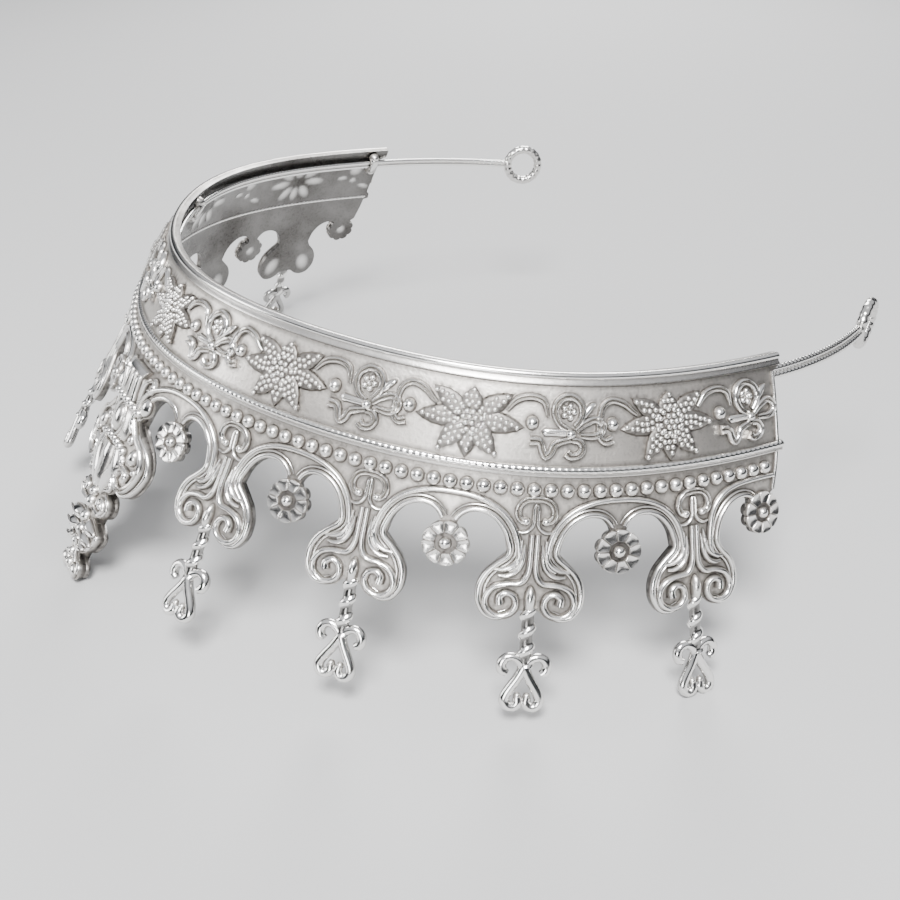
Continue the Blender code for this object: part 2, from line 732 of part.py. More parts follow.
def back_layer(corners, rim, outlines):
    """Triangulate the plain back between the same outline points."""
    used = sorted({corner for edge in rim for corner in edge})
    order = {corner: index for index, corner in enumerate(used)}
    points = [tuple(corners[corner]) for corner in used]
    edges = [(order[a], order[b]) for a, b in rim]
    rows = np.linspace(TOP_DROP, 0.0, BACK_ROWS + 1)[1:]
    points += [(x, row) for row in rows for x in stations()]
    back, faces = triangulate(points, edges, outlines)
    return back, faces


def swell(drawing):
    """Extra height of the front face over the large front pendant, fullest along its middle."""
    across = np.clip(1.0 - (drawing[:, 0] / SWELL_HALF) ** 2, 0.0, 1.0)
    return np.interp(drawing[:, 1], SWELL_DROPS, SWELL_SHARES) * across * SWELL


def plate_mesh(wall):
    """Wrap the front and the back of the drawing on to the wall and close them along the outline."""
    sheet = draw_plate()
    corners, faces, rim, on_rim = front_layer(sheet)
    heights = sheet.heights(corners) + swell(corners)
    heights[sorted(on_rim)] = BACK
    back, back_faces = back_layer(corners, rim, sheet.outlines)
    front_places = wall.place(corners[:, 0], corners[:, 1], heights)
    back_places = wall.place(back[:, 0], back[:, 1], BACK)
    mesh = bmesh.new()
    front_verts = [mesh.verts.new(place) for place in front_places]
    rim_at = {tuple(np.round(corners[i], 4)): i for i in on_rim}
    back_verts = []
    for flat, place in zip(back, back_places):
        shared = rim_at.get(tuple(np.round(flat, 4)))
        back_verts.append(mesh.verts.new(place) if shared is None else front_verts[shared])
    for a, b, c in faces:
        mesh.faces.new((front_verts[a], front_verts[c], front_verts[b]))
    for a, b, c in back_faces:
        mesh.faces.new((back_verts[a], back_verts[b], back_verts[c]))
    loose = [vert for vert in mesh.verts if not vert.link_faces]
    bmesh.ops.delete(mesh, geom=loose, context="VERTS")
    return mesh


def lowest(mesh, turn, low_x, high_x):
    """Lowest level of the mesh, turned about X, between two distances from the middle plane."""
    levels = [(turn @ vert.co).z for vert in mesh.verts if low_x * MM <= abs(vert.co.x) < high_x * MM]
    return min(levels)


def standing_turn(mesh, wall):
    """Turn about X that brings the front foot level with the two end feet."""
    end_x = abs(wall.place(pendant_places()[-1], 0.0, 0.0)[0]) / MM
    low, high = -TILT_REACH, TILT_REACH
    for _ in range(TILT_STEPS):
        angle = (low + high) / 2
        turn = Matrix.Rotation(angle, 4, "X")
        front = lowest(mesh, turn, 0.0, FIRST_PENDANT / 3)
        ends = lowest(mesh, turn, end_x, end_x * 2)
        if front < ends:
            high = angle
        else:
            low = angle
    return turn


def cut_feet(mesh):
    """Cut the three lowest tips level, so that the crown stands on small flats."""
    level = min(vert.co.z for vert in mesh.verts) + FOOT_CUT * MM
    geom = list(mesh.verts) + list(mesh.edges) + list(mesh.faces)
    result = bmesh.ops.bisect_plane(mesh, geom=geom, dist=CUT_NEARNESS, plane_co=(0.0, 0.0, level),
                                    plane_no=(0.0, 0.0, 1.0), clear_inner=True)
    cut = [item for item in result["geom_cut"] if isinstance(item, bmesh.types.BMEdge)]
    filled = bmesh.ops.holes_fill(mesh, edges=cut, sides=0)
    bmesh.ops.triangulate(mesh, faces=filled["faces"])


def sweep(sections):
    """Skin a row of equal closed sections and cap both ends."""
    mesh = bmesh.new()
    rings = [[mesh.verts.new(place) for place in section] for section in sections]
    count = len(rings[0])
    for ring, following in zip(rings, rings[1:]):
        for i in range(count):
            j = (i + 1) % count
            mesh.faces.new((ring[i], ring[j], following[j], following[i]))
    mesh.faces.new(rings[0][::-1])
    mesh.faces.new(rings[-1])
    bmesh.ops.recalc_face_normals(mesh, faces=mesh.faces)
    return mesh


def wire_height():
    """Height of the wire's centre, inside the back of the plate."""
    return BACK - WIRE_CLEARANCE - WIRE_DIAMETER / 2


def wire_mesh(wall):
    """The hairband without its loops: two strands lying one over the other."""
    radius = WIRE_DIAMETER / 2
    half = [(-2.0, 0.0), (-1.1, 1.0), (0.0, 0.4), (1.1, 1.0), (2.0, 0.0)]
    section = half + [(down, -out) for down, out in half[-2:0:-1]]
    reach = HALF_LENGTH + TAIL_LENGTH
    count = int(round(2 * reach / WIRE_STATION))
    rings = []
    for x in np.linspace(-reach, reach, count + 1):
        ring = [wall.place(x, WIRE_DROP + down * radius, wire_height() + out * radius)
                for down, out in section]
        rings.append(ring)
    return sweep(rings)


def loop_mesh(wall, side):
    """Round loop at one end of the hairband, standing in the upright plane of the tail."""
    reach = side * (HALF_LENGTH + TAIL_LENGTH)
    end = Vector(wall.place(reach, WIRE_DROP, wire_height()))
    heading = float(wall.heading(reach))
    along = Vector((math.cos(heading), math.sin(heading), 0.0)) * side
    across = Vector((math.sin(heading), -math.cos(heading), 0.0))
    up = Vector((0.0, 0.0, 1.0))
    radius = (LOOP_OUTER - LOOP_WIRE) / 2 * MM
    centre = end + along * radius
    mesh = bmesh.new()
    rings = []
    for i in range(LOOP_STEPS):
        turn = 2 * math.pi * i / LOOP_STEPS
        out = along * math.cos(turn) + up * math.sin(turn)
        ring = []
        for j in range(LOOP_SIDES):
            angle = 2 * math.pi * (j + 0.5) / LOOP_SIDES
            lift = out * math.cos(angle) + across * math.sin(angle)
            ring.append(mesh.verts.new(centre + out * radius + lift * (LOOP_WIRE / 2 * MM)))
        rings.append(ring)
    for i, ring in enumerate(rings):
        following = rings[(i + 1) % LOOP_STEPS]
        for j in range(LOOP_SIDES):
            k = (j + 1) % LOOP_SIDES
            mesh.faces.new((ring[j], ring[k], following[k], following[j]))
    bmesh.ops.recalc_face_normals(mesh, faces=mesh.faces)
    return mesh


def clip_mesh(wall, x):
    """One binding clip: a bent strip over both strands with its two feet on the plate."""
    room = WIRE_DIAMETER + CLIP_GAP
    floor = BACK - CLIP_GAP
    cover = wire_height() - WIRE_DIAMETER / 2 - CLIP_GAP
    half = [(room + CLIP_THICK + CLIP_END, floor), (room + CLIP_THICK + CLIP_END, floor - CLIP_THICK),
            (room + CLIP_THICK, floor - CLIP_THICK), (room + CLIP_THICK, cover - CLIP_THICK)]
    inner = [(-room, cover), (-room, floor)]
    section = half + [(-down, out) for down, out in half[::-1]] + inner[::-1]
    section += [(-down, out) for down, out in inner]
    rings = []
    for place in (x - CLIP_WIDTH / 2, x + CLIP_WIDTH / 2):
        rings.append([wall.place(place, WIRE_DROP + down, out) for down, out in section])
    return sweep(rings)


def add_object(name, mesh, material, turn):
    """Turn a finished mesh into a named object."""
    mesh.transform(turn)
    data = bpy.data.meshes.new(name)
    mesh.to_mesh(data)
    mesh.free()
    data.materials.append(material)
    data.polygons.foreach_set("use_smooth", [True] * len(data.polygons))
    data.set_sharp_from_angle(angle=SMOOTH_ANGLE)
    item = bpy.data.objects.new(name, data)
    bpy.context.collection.objects.link(item)
    return item


def join_loops(wire, loops):
    """Join the loops to the wire as one body."""
    for loop in loops:
        loop.hide_render = True
        loop.display_type = "WIRE"
        union = wire.modifiers.new("join_" + loop.name, "BOOLEAN")
        union.operation = "UNION"
        union.solver = "EXACT"
        union.object = loop


def main():
    """Build the crown, stand it on its feet and put the origin under its middle."""
    clear_scene()
    wall = Wall()
    plate = plate_mesh(wall)
    turn = standing_turn(plate, wall)
    plate.transform(turn)
    cut_feet(plate)
    wire = wire_mesh(wall)
    loops = [loop_mesh(wall, side) for side in (-1, 1)]
    clips = {"tie_left_end": -CLIP_AT_END, "tie_left_front": -CLIP_AT_FRONT,
             "tie_right_front": CLIP_AT_FRONT, "tie_right_end": CLIP_AT_END}
    for mesh in [wire] + loops:
        mesh.transform(turn)
    everything = [vert.co for mesh in [plate, wire] + loops for vert in mesh.verts]
    low = [min(co[i] for co in everything) for i in range(3)]
    high = [max(co[i] for co in everything) for i in range(3)]
    shift = Matrix.Translation((-(low[0] + high[0]) / 2, -(low[1] + high[1]) / 2, -low[2]))
    add_object("crown_plate", plate, cast_silver(), shift)
    wire_metal = wire_silver()
    band = add_object("hairband_wire", wire, wire_metal, shift)
    names = ("loop_left", "loop_right")
    join_loops(band, [add_object(name, mesh, wire_metal, shift) for name, mesh in zip(names, loops)])
    clip_metal = clip_silver()
    for name, x in clips.items():
        add_object(name, clip_mesh(wall, x), clip_metal, shift @ turn)


main()
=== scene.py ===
import math

import bmesh
import bpy
import numpy as np
from mathutils import Matrix, Vector, geometry, kdtree


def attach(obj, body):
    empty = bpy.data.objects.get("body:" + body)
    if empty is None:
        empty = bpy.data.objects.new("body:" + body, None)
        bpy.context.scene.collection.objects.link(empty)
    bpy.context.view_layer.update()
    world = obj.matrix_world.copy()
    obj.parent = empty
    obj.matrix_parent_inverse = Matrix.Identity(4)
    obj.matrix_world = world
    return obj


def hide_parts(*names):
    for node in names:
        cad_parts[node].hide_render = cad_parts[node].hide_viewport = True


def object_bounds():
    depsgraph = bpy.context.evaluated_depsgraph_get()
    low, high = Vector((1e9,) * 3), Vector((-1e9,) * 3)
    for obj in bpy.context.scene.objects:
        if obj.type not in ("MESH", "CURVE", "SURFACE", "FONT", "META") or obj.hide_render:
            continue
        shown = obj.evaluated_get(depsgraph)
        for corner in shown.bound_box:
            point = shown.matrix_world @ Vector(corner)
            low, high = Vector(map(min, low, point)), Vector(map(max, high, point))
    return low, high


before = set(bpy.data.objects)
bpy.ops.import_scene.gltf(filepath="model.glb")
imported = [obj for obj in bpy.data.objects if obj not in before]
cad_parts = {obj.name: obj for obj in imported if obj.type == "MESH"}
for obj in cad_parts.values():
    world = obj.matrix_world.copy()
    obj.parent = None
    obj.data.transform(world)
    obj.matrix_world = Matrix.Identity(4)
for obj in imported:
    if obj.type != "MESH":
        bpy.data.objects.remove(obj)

CAD_BOX = [list(corner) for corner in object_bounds()]

bl_info = {
    "name": "Bridal crown",
    "version": (1, 1, 0),
    "blender": (4, 5, 0),
    "location": "3D View > Sidebar > Crown",
    "description": "Dresses the bridal crown with its cast ornament, hairband and silver finishes",
    "category": "Add Mesh",
}

MM = 0.001

# The wall that the flat drawing is wrapped on to: the same values as the solid crown has
BEAD_PITCH = 3.0
BEADS_PER_SIDE = 47
HALF_ROW = BEADS_PER_SIDE * BEAD_PITCH
HALF_LENGTH = HALF_ROW + 5.0
TOP_HALF_LENGTH = HALF_LENGTH + 0.8
BEND_MEAN = 0.03334
BEND_WAVES = (0.00164, -0.00328, 0.00928)
BEND_PITCH = 3.0
WALL_SAMPLES = 1601
FLARE = math.radians(20.97)
TOP_DROP = -21.2
TOP_SET_IN = 2.0
LEAN_FROM = 8.0
LEAN_SLOPES = (0.02, 0.13, 0.0, -0.02, 0.0)
SWELL = 1.8
SWELL_DROPS = (1.0, 4.0, 47.0, 53.0)
SWELL_SHARES = (0.0, 1.0, 1.0, 0.7)
SWELL_HALF = 16.0
STAND_TILT = math.radians(-6.189804293810695)
STAND_SHIFT = (0.0, -0.0587759922742844, 0.045874498784542084)
BACK = -0.6
GROUND = 0.6

# Places along the plate, in millimetres from the front centre
FRIEZE_STEP = 19.6
FRIEZE_REACH = 7
FLOWER_DROP = -11.9
PENDANT_PLACES = (32.4, 62.3, 92.2, 122.1)
CUSPS = (16.8, 47.35, 77.25, 107.15)
END_ROSETTE = 138.1
END_ROSETTE_DROP = 8.6
ROSETTE_DROP = 11.3
ROSETTE_RADIUS = 4.15
ROSETTE_PETALS = 9
ARCH_HALF = 12.55
ARCH_TOP = 1.7
ARCH_FOOT = 13.0
ARCH_POWER = 2.4

# Hairband
WIRE_DIAMETER = 1.35
WIRE_CLEARANCE = 0.4
WIRE_DROP = -17.0
WIRE_LIFT = BACK - WIRE_CLEARANCE - WIRE_DIAMETER / 2
TAIL_LENGTH = 43.4
TAIL_BEND = 0.0100
WIRE_REACH = HALF_LENGTH + TAIL_LENGTH
WIRE_WAVE = 0.07
LOOP_OUTER = 11.8
LOOP_WAVES = 18
LOOP_WAVE = 0.05
LOOP_POLISH = 0.9
LOOP_SOOT = 0.2

# Binding clips
CLIP_WIDTH = 2.2
CLIP_THICK = 0.6
CLIP_GAP = 0.35
CLIP_END = 1.0
CLIP_AT_END = 141.8
CLIP_AT_FRONT = 60.0
# Balls of a clip: how far in from its end they are, and their half sizes
BALL_SET_IN = 0.95
BALL_SIZES = (1.5, 1.35, -2.1)

# Camera, given before the wall is stood up: its place in metres, its turn and its lens
CAMERA_PLACE = (0.21024075, -0.06603552, 0.10014273)
CAMERA_TURN = (1.81788, 1.07955, -0.53469)
SENSOR_WIDTH = 36.0
CAMERA_LENS = 1113.17 * SENSOR_WIDTH / 900.0

# Points inside the ground sheet: a fine grid down to FRONT_TOP, a coarser one below it
SHEET_STEP = 0.56
SHEET_TOP = TOP_DROP + 2.9
SHEET_MERGE = 0.02
FRONT_STEP = 0.8
FRONT_TOP = 24.0
FRONT_BOTTOM = 53.0
FRONT_HALF = 13.6

# Rounding of the front pendant's edge: its reach inwards, its first share, and where it applies
EDGE_ROUND = 1.5
EDGE_START = 0.12
ROUND_HALF = 14.5
ROUND_TOP = 11.0

# Skirt of an ornament: heights of its sunken edge, its rim and its join, and its reach outwards
SKIRT = (-0.2, 0.01, 0.04)
FRINGE = 0.32

# Polish of the bare ground, and of an ornament's foot
GROUND_POLISH = 0.35
FOOT_POLISH = 0.3

# Painted shade with soot on the ground and on the foot and the skirt of an ornament
GROUND_SOOT_AND_SHADE = 0.9
BAND_SOOT_AND_SHADE = 0.95
BAND_SKIRT_SOOT_AND_SHADE = 0.55
DOME_SKIRT_SHARE = 0.45

# Share of the back's painted dark reflection that the middle of a dimple is free of, left there as a painted
# highlight
DIMPLE_PAINTED_GLEAM = 0.75

# Polish, and soot with painted shade, of a slab, from the edge of its skirt up to its face
SLAB_POLISH = (0.35, 0.35, 0.2, 0.5, 1.0, 1.0)
SLAB_SOOT_AND_SHADE = (0.4, 0.4, 1.0, 0.75, 0.0, 0.0)

# Share of its length over which a band narrows at each end
BAND_TAPER = 0.22

# Edges of the skin that are sharper than this are shaded as edges
SHARP_ANGLE = math.radians(50.0)

# Feet of the ornament, collected while it is added and read by the ground sheet
FEET = []


def wall_heading(x):
    """Direction of the plan curve at a distance along the bead row."""
    inside = np.clip(x, -HALF_LENGTH, HALF_LENGTH)
    turn = BEND_MEAN * inside
    for order, wave in enumerate(BEND_WAVES, start=1):
        rate = order * math.pi / HALF_ROW
        turn = turn + wave / rate * np.sin(rate * inside)
    return turn / BEND_PITCH + (x - inside) * TAIL_BEND


def wall_table():
    """Plan curve of the bead row, sampled once."""
    reach = WIRE_REACH + LOOP_OUTER * 2
    x = np.linspace(-reach, reach, WALL_SAMPLES)
    heading = wall_heading(x)
    step = x[1] - x[0]
    plan = []
    for values in (np.cos(heading), np.sin(heading)):
        total = np.concatenate([[0.0], np.cumsum((values[1:] + values[:-1]) / 2 * step)])
        plan.append(total - np.interp(0.0, x, total))
    return x, plan[0], plan[1]


WALL_X, WALL_PLAN_X, WALL_PLAN_Y = wall_table()
STAND = Matrix.Translation(STAND_SHIFT) @ Matrix.Rotation(STAND_TILT, 4, "X")


def wrap(points):
    """Wrap drawing points (x, drop, height) in millimetres on to the standing wall, in metres."""
    points = np.asarray(points, dtype=float)
    x, drop, height = points[:, 0], points[:, 1], points[:, 2]
    heading = wall_heading(x)
    full = np.clip(1.0 - (x / SWELL_HALF) ** 2, 0.0, 1.0) * np.interp(drop, SWELL_DROPS, SWELL_SHARES)
    height = height + SWELL * full * np.clip((height - BACK) / (GROUND - BACK), 0.0, 1.0)
    set_in = TOP_SET_IN * (np.minimum(drop, 0.0) / TOP_DROP) ** 2
    slope = np.interp(np.abs(x), (0.0,) + PENDANT_PLACES, LEAN_SLOPES)
    face = height - set_in + slope * np.maximum(drop - LEAN_FROM, 0.0)
    out = drop * math.sin(FLARE) + face * math.cos(FLARE)
    up = -drop * math.cos(FLARE) + face * math.sin(FLARE)
    plan_x = np.interp(x, WALL_X, WALL_PLAN_X) + np.sin(heading) * out
    plan_y = np.interp(x, WALL_X, WALL_PLAN_Y) - np.cos(heading) * out
    flat = np.stack([plan_x, plan_y, up], axis=1) * MM
    stood = flat @ np.array(STAND.to_3x3()).T + np.array(STAND_SHIFT)
    return np.clip(stood, CAD_BOX[0], CAD_BOX[1])


def smooth(points, steps=4, closed=False):
    """Sample a smooth curve through drawing points."""
    points = np.asarray(points, dtype=float)
    if closed:
        padded = np.vstack([points[-1:], points, points[:2]])
    else:
        padded = np.vstack([2 * points[0] - points[1], points, 2 * points[-1] - points[-2]])
    curve = []
    for index in range(1, len(padded) - 2):
        before, start, end, after = padded[index - 1:index + 3]
        for share in np.arange(steps) / steps:
            bend = (2 * start + (end - before) * share
                    + (2 * before - 5 * start + 4 * end - after) * share ** 2
                    + (3 * start - before - 3 * end + after) * share ** 3)
            curve.append(bend / 2)
    if not closed:
        curve.append(points[-1])
    return np.array(curve)


def sideways(path, closed=False):
    """Unit normals of a flat path, to the left of its direction."""
    if closed:
        run = np.roll(path, -1, axis=0) - np.roll(path, 1, axis=0)
    else:
        run = np.gradient(path, axis=0)
    run = run / np.maximum(np.linalg.norm(run, axis=1), 1e-9)[:, None]
    return np.stack([-run[:, 1], run[:, 0]], axis=1)


def placed(points, x, side=1, drop=0.0):
    """Move drawing points to their place; side -1 mirrors them."""
    return [(x + side * px, d + drop) for px, d in points]


def doubled(half):
    """Both sides of a shape along its axis; the half ends at the tip, on the axis."""
    return half + [(along, -across) for along, across in half[-2::-1]]


def turned(points, x, drop, direction):
    """Turn points (along, across) to a direction and move them to a place on the drawing."""
    ux, ud = direction
    return [(x + ux * s - ud * w, drop + ud * s + ux * w) for s, w in points]


def circle(count):
    """Angles evenly round a circle."""
    return 2 * math.pi * np.arange(count) / count


def ring_of(x, drop, radius, count):
    """Points evenly round a circle."""
    return [(x + radius * math.cos(a), drop + radius * math.sin(a)) for a in circle(count)]


def inside_polygon(queries, polygon):
    """True for the queries inside a closed polygon, counting its windings."""
    x, y = queries[:, 0][:, None], queries[:, 1][:, None]
    ax, ay = polygon[:, 0], polygon[:, 1]
    bx, by = np.roll(ax, -1), np.roll(ay, -1)
    side = (bx - ax) * (y - ay) - (x - ax) * (by - ay)
    up = (ay <= y) & (by > y) & (side > 0)
    down = (ay > y) & (by <= y) & (side < 0)
    return (up.sum(axis=1) - down.sum(axis=1)) != 0


def distances(points, targets):
    """Distance on the drawing from each point to the nearest target."""
    tree = kdtree.KDTree(len(targets))
    for index, target in enumerate(targets):
        tree.insert((target[0], target[1], 0.0), index)
    tree.balance()
    return np.array([tree.find((p[0], p[1], 0.0))[2] for p in points])


def taper(count, ends, reach):
    """Share of the full width at each point of a path that narrows at both ends."""
    return np.interp(np.linspace(0.0, 1.0, count), [0.0, reach, 1.0 - reach, 1.0],
                     [ends[0], 1.0, 1.0, ends[1]])


def quads(count, total, closed=False):
    """Faces between neighbouring rings that have the same number of points."""
    faces = []
    for i in range(total if closed else total - 1):
        a, b = i * count, (i + 1) % total * count
        for j in range(count):
            k = (j + 1) % count
            faces.append((a + j, a + k, b + k, b + j))
    return faces


# Sections of a band: shares of its half width and of its height
ROUND = [(-1.0, -0.3), (-1.0, 0.0), (-0.87, 0.5), (-0.5, 0.87), (0.0, 1.0), (0.5, 0.87),
         (0.87, 0.5), (1.0, 0.0), (1.0, -0.3)]
DOUBLE = [(-1.0, -0.3), (-1.0, 0.3), (-0.85, 0.85), (-0.55, 1.0), (-0.25, 0.7), (0.0, 0.3),
          (0.25, 0.7), (0.55, 1.0), (0.85, 0.85), (1.0, 0.3), (1.0, -0.3)]


class Casting:
    """Collects the skin of one cast piece in drawing space, with its polish, and its soot and painted shade.
    """

    def __init__(self):
        self.points = []
        self.faces = []
        self.polish = []
        self.soot_and_shade = []
        self.feet = []

    def add(self, points, faces, polish, soot_and_shade):
        """Add a lump of skin."""
        first = len(self.points)
        self.points.extend(tuple(float(v) for v in p) for p in points)
        self.faces.extend(tuple(first + i for i in face) for face in faces)
        for store, values in ((self.polish, polish), (self.soot_and_shade, soot_and_shade)):
            store.extend(np.full(len(points), values, dtype=float).tolist())

    def loft(self, rings, polish, soot_and_shade, closed=False):
        """Skin a row of equal closed rings that are shaded alike; an open row is capped."""
        count, total = len(rings[0]), len(rings)
        faces = quads(count, total, closed)
        if not closed:
            faces.append(tuple(range(count))[::-1])
            faces.append(tuple(range((total - 1) * count, total * count)))
        shades = [np.tile(np.full(count, v, dtype=float), total) for v in (polish, soot_and_shade)]
        self.add([p for ring in rings for p in ring], faces, *shades)

    def mound(self, rings, top, polish, soot_and_shade):
        """Skin a stack of equal rings, closed below, that ends in one top point."""
        count = len(rings[0])
        last = (len(rings) - 1) * count
        faces = [tuple(range(count))[::-1]] + quads(count, len(rings))
        faces += [(last + j, last + (j + 1) % count, last + count) for j in range(count)]
        self.add([p for ring in rings for p in ring] + [top], faces, polish, soot_and_shade)

    def band(self, path, half, height, profile=ROUND, closed=False, ends=(1.0, 1.0), base=GROUND,
             fringe=FRINGE):
        """Lay a raised band along a flat path; ends give its share of the width at each end."""
        path = np.asarray(path, dtype=float)
        shares = np.ones(len(path)) if closed else taper(len(path), ends, BAND_TAPER)
        rings = []
        for point, normal, size in zip(path, sideways(path, closed), shares):
            ring = []
            for off, rise in profile:
                place = point + normal * off * half * size
                ring.append((place[0], place[1], base + rise * height * (size if rise > 0 else 1.0)))
            self.feet += [ring[0][:2], ring[-1][:2]]
            if fringe:
                skirts = []
                for side, end in ((-1, ring[0]), (1, ring[-1])):
                    edge = point + normal * side * (half * size + fringe)
                    skirts.append([(*p, base + lift) for p, lift in zip((edge, edge, end[:2]), SKIRT)])
                ring = skirts[0] + ring[1:-1] + skirts[1][::-1]
            rings.append(ring)
        rises = np.clip([rise for _, rise in profile], 0.0, 1.0)
        shine = FOOT_POLISH + (1.0 - FOOT_POLISH) * rises
        # Painted shade with soot at the foot of the band, fading towards its top, and on its skirt
        dirt_and_shade = BAND_SOOT_AND_SHADE * (1.0 - rises) ** 1.4
        if fringe:
            shine = np.pad(shine, 2, constant_values=GROUND_POLISH)
            dirt_and_shade = np.pad(dirt_and_shade, 2, constant_values=BAND_SKIRT_SOOT_AND_SHADE)
        self.loft(rings, shine, dirt_and_shade, closed)

    def stroke(self, points, half, height, profile=ROUND, x=0.0, side=1, drop=0.0, steps=4, **shape):
        """Lay a band along the smooth curve through points that are drawn from a place."""
        self.band(smooth(placed(points, x, side, drop), steps), half, height, profile, **shape)

    def dome(self, x, drop, across, down, height, base=GROUND, cols=12, rows=4, polish=1.0,
             soot_and_shade=0.9, foot=True):
        """Set a dome on the ground."""
        angles = circle(cols)
        tilts = math.pi / 2 * np.arange(rows) / rows
        rings = [[(x + across * math.cos(tilt) * math.cos(a), drop + down * math.cos(tilt) * math.sin(a),
                   base + height * math.sin(tilt)) for a in angles] for tilt in tilts]
        skirt = [(p[0], p[1]) for p in rings[0]]
        if foot:
            self.feet += skirt
            skirt = [(x + (px - x) * (1 + FRINGE / across), drop + (pd - drop) * (1 + FRINGE / down))
                     for px, pd in skirt]
        rings = [[(*p, base + lift) for p in skirt] for lift in SKIRT[:2]] + rings
        rises = np.append(np.repeat([0.0, 0.0, *np.sin(tilts)], cols), 1.0)
        # Painted shade with soot at the foot of the dome, fading towards its top, weaker on its skirt
        dirt_and_shade = soot_and_shade * (1.0 - rises) ** 2
        dirt_and_shade[:2 * cols] *= DOME_SKIRT_SHARE
        shine = polish * (FOOT_POLISH + (1.0 - FOOT_POLISH) * rises)
        self.mound(rings, (x, drop, base + height), shine, dirt_and_shade)

    def slab(self, outline, height, crown=0.0, base=GROUND, bevel=0.25, polish=1.0, soot_and_shade=0.9,
             face_soot_and_shade=0.0, fringe=FRINGE):
        """Raise a flat piece with a bevelled edge and a crowned face over a closed outline."""
        outline = np.asarray(outline, dtype=float)
        area = np.sum(outline[:, 0] * np.roll(outline[:, 1], -1)
                      - np.roll(outline[:, 0], -1) * outline[:, 1])
        if area < 0:
            outline = outline[::-1]
        self.feet += [tuple(p) for p in outline]
        middle = outline.mean(axis=0)
        normals = sideways(outline, True)
        inner = outline + normals * bevel
        inmost = middle + (outline - middle) * 0.5
        skirt = outline - normals * fringe
        levels = zip((skirt, skirt, outline, outline, inner, inmost),
                     (*SKIRT, height - bevel, height, height + crown * 0.75))
        rings = [[(*p, base + level) for p in ring] for ring, level in levels]
        shine = np.repeat(SLAB_POLISH, len(outline)) * polish
        # Painted shade with soot round the slab's foot and bevel; the face share darkens its whole face
        dirt_and_shade = np.maximum(np.repeat(SLAB_SOOT_AND_SHADE, len(outline)) * soot_and_shade, face_soot_and_shade)
        self.mound(rings, (*middle, base + height + crown), np.append(shine, polish),
                   np.append(dirt_and_shade, face_soot_and_shade))

    def leaf(self, points, height, crown, x=0.0, side=1, **shape):
        """Raise a slab over the smooth outline through points that are drawn from a place."""
        self.slab(placed(smooth(points, 3, True), x, side), height, crown, **shape)

    def grains(self, places, radius, base):
        """Small round grains at many places."""
        for x, drop in places:
            self.dome(x, drop, radius, radius, radius * 1.15, base=base, cols=8, rows=2, soot_and_shade=1.0,
                      foot=False)

    def make(self, name, kind="cast", nodes=("crown_plate",)):
        """Wrap the drawing on to the wall and make the piece."""
        FEET.extend(self.feet)
        mesh = bpy.data.meshes.new(name)
        mesh.from_pydata(wrap(self.points).tolist(), [], self.faces)
        finish_piece(name, mesh, kind, nodes, self.polish, self.soot_and_shade)


def finish_piece(name, mesh, kind, nodes, polish, soot_and_shade):
    """Store polish, and soot with painted shade, turn the skin outwards, give the piece its finish and tie it
    to the frame.
    """
    for label, values in (("polish", polish), ("soot_and_shade", soot_and_shade)):
        layer = mesh.attributes.new(label, "FLOAT", "POINT")
        layer.data.foreach_set("value", np.full(len(mesh.vertices), values, dtype=np.float32))
    body = bmesh.new()
    body.from_mesh(mesh)
    bmesh.ops.recalc_face_normals(body, faces=body.faces)
    body.to_mesh(mesh)
    body.free()
    mesh.polygons.foreach_set("use_smooth", [True] * len(mesh.polygons))
    mesh.set_sharp_from_angle(angle=SHARP_ANGLE)
    piece = bpy.data.objects.new(name, mesh)
    bpy.context.scene.collection.objects.link(piece)
    mesh.materials.append(finish(kind + " silver"))
    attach(piece, "root")
    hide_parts(*nodes)


# Edges of the sheet as (x, drop): an opening from its cusp, a heart from its middle, the front
# pendant from the front centre, and the end of the plate from its top corner
ARCH_EDGE = [(1.35, 8.2), (1.62, 7.0), (2.25, 6.0), (3.3, 5.2), (4.7, 4.9), (6.2, 5.1),
             (7.8, 5.95), (9.1, 7.4), (9.95, 9.1), (10.45, 11.6)]
HEART_EDGE = [(6.3, 13.4), (7.9, 15.2), (8.85, 17.3), (9.1, 19.3), (8.8, 21.5), (7.4, 23.7),
              (5.3, 24.4), (3.3, 23.7), (1.8, 22.3)]
FRONT_LOBE = [(6.0, 13.0), (9.2, 14.9), (12.2, 17.0), (13.7, 20.0), (13.2, 23.2), (11.2, 26.7),
              (8.3, 28.6), (5.6, 28.1), (4.2, 28.6)]
FRONT_KNOB = [(4.1, 30.3), (5.6, 31.3), (6.4, 33.1), (5.6, 35.1), (3.2, 36.8)]
FRONT_TIER = [(3.0, 37.9), (6.3, 39.3), (6.0, 41.8), (4.2, 44.3), (1.8, 46.0)]
FRONT_FOOT = [(1.5, 47.4), (3.5, 48.5), (3.9, 50.3), (2.6, 52.1), (1.0, 52.8)]
END_EDGE = [(-5.0, 4.6), (-3.9, 0.4), (-3.4, -2.5), (-2.0, -2.9), (-2.0, -4.35), (-2.9, -4.85),
            (-1.8, -17.8), (0.0, -18.6), (0.0, TOP_DROP)]


def half_edge():
    """Lower and end edge of the right half, in smooth runs that meet at sharp corners."""
    runs = [run[::-1] for run in (FRONT_FOOT, FRONT_TIER, FRONT_KNOB, FRONT_LOBE)]
    for cusp, centre in zip(CUSPS, PENDANT_PLACES):
        runs += [placed(ARCH_EDGE[::-1], cusp, -1), placed(ARCH_EDGE, cusp),
                 placed(HEART_EDGE, centre, -1), placed(HEART_EDGE[::-1], centre)]
    runs.append(placed(ARCH_EDGE[::-1], END_ROSETTE, -1))
    return [tuple(p) for run in runs for p in smooth(run, 3)] + placed(END_EDGE, TOP_HALF_LENGTH)


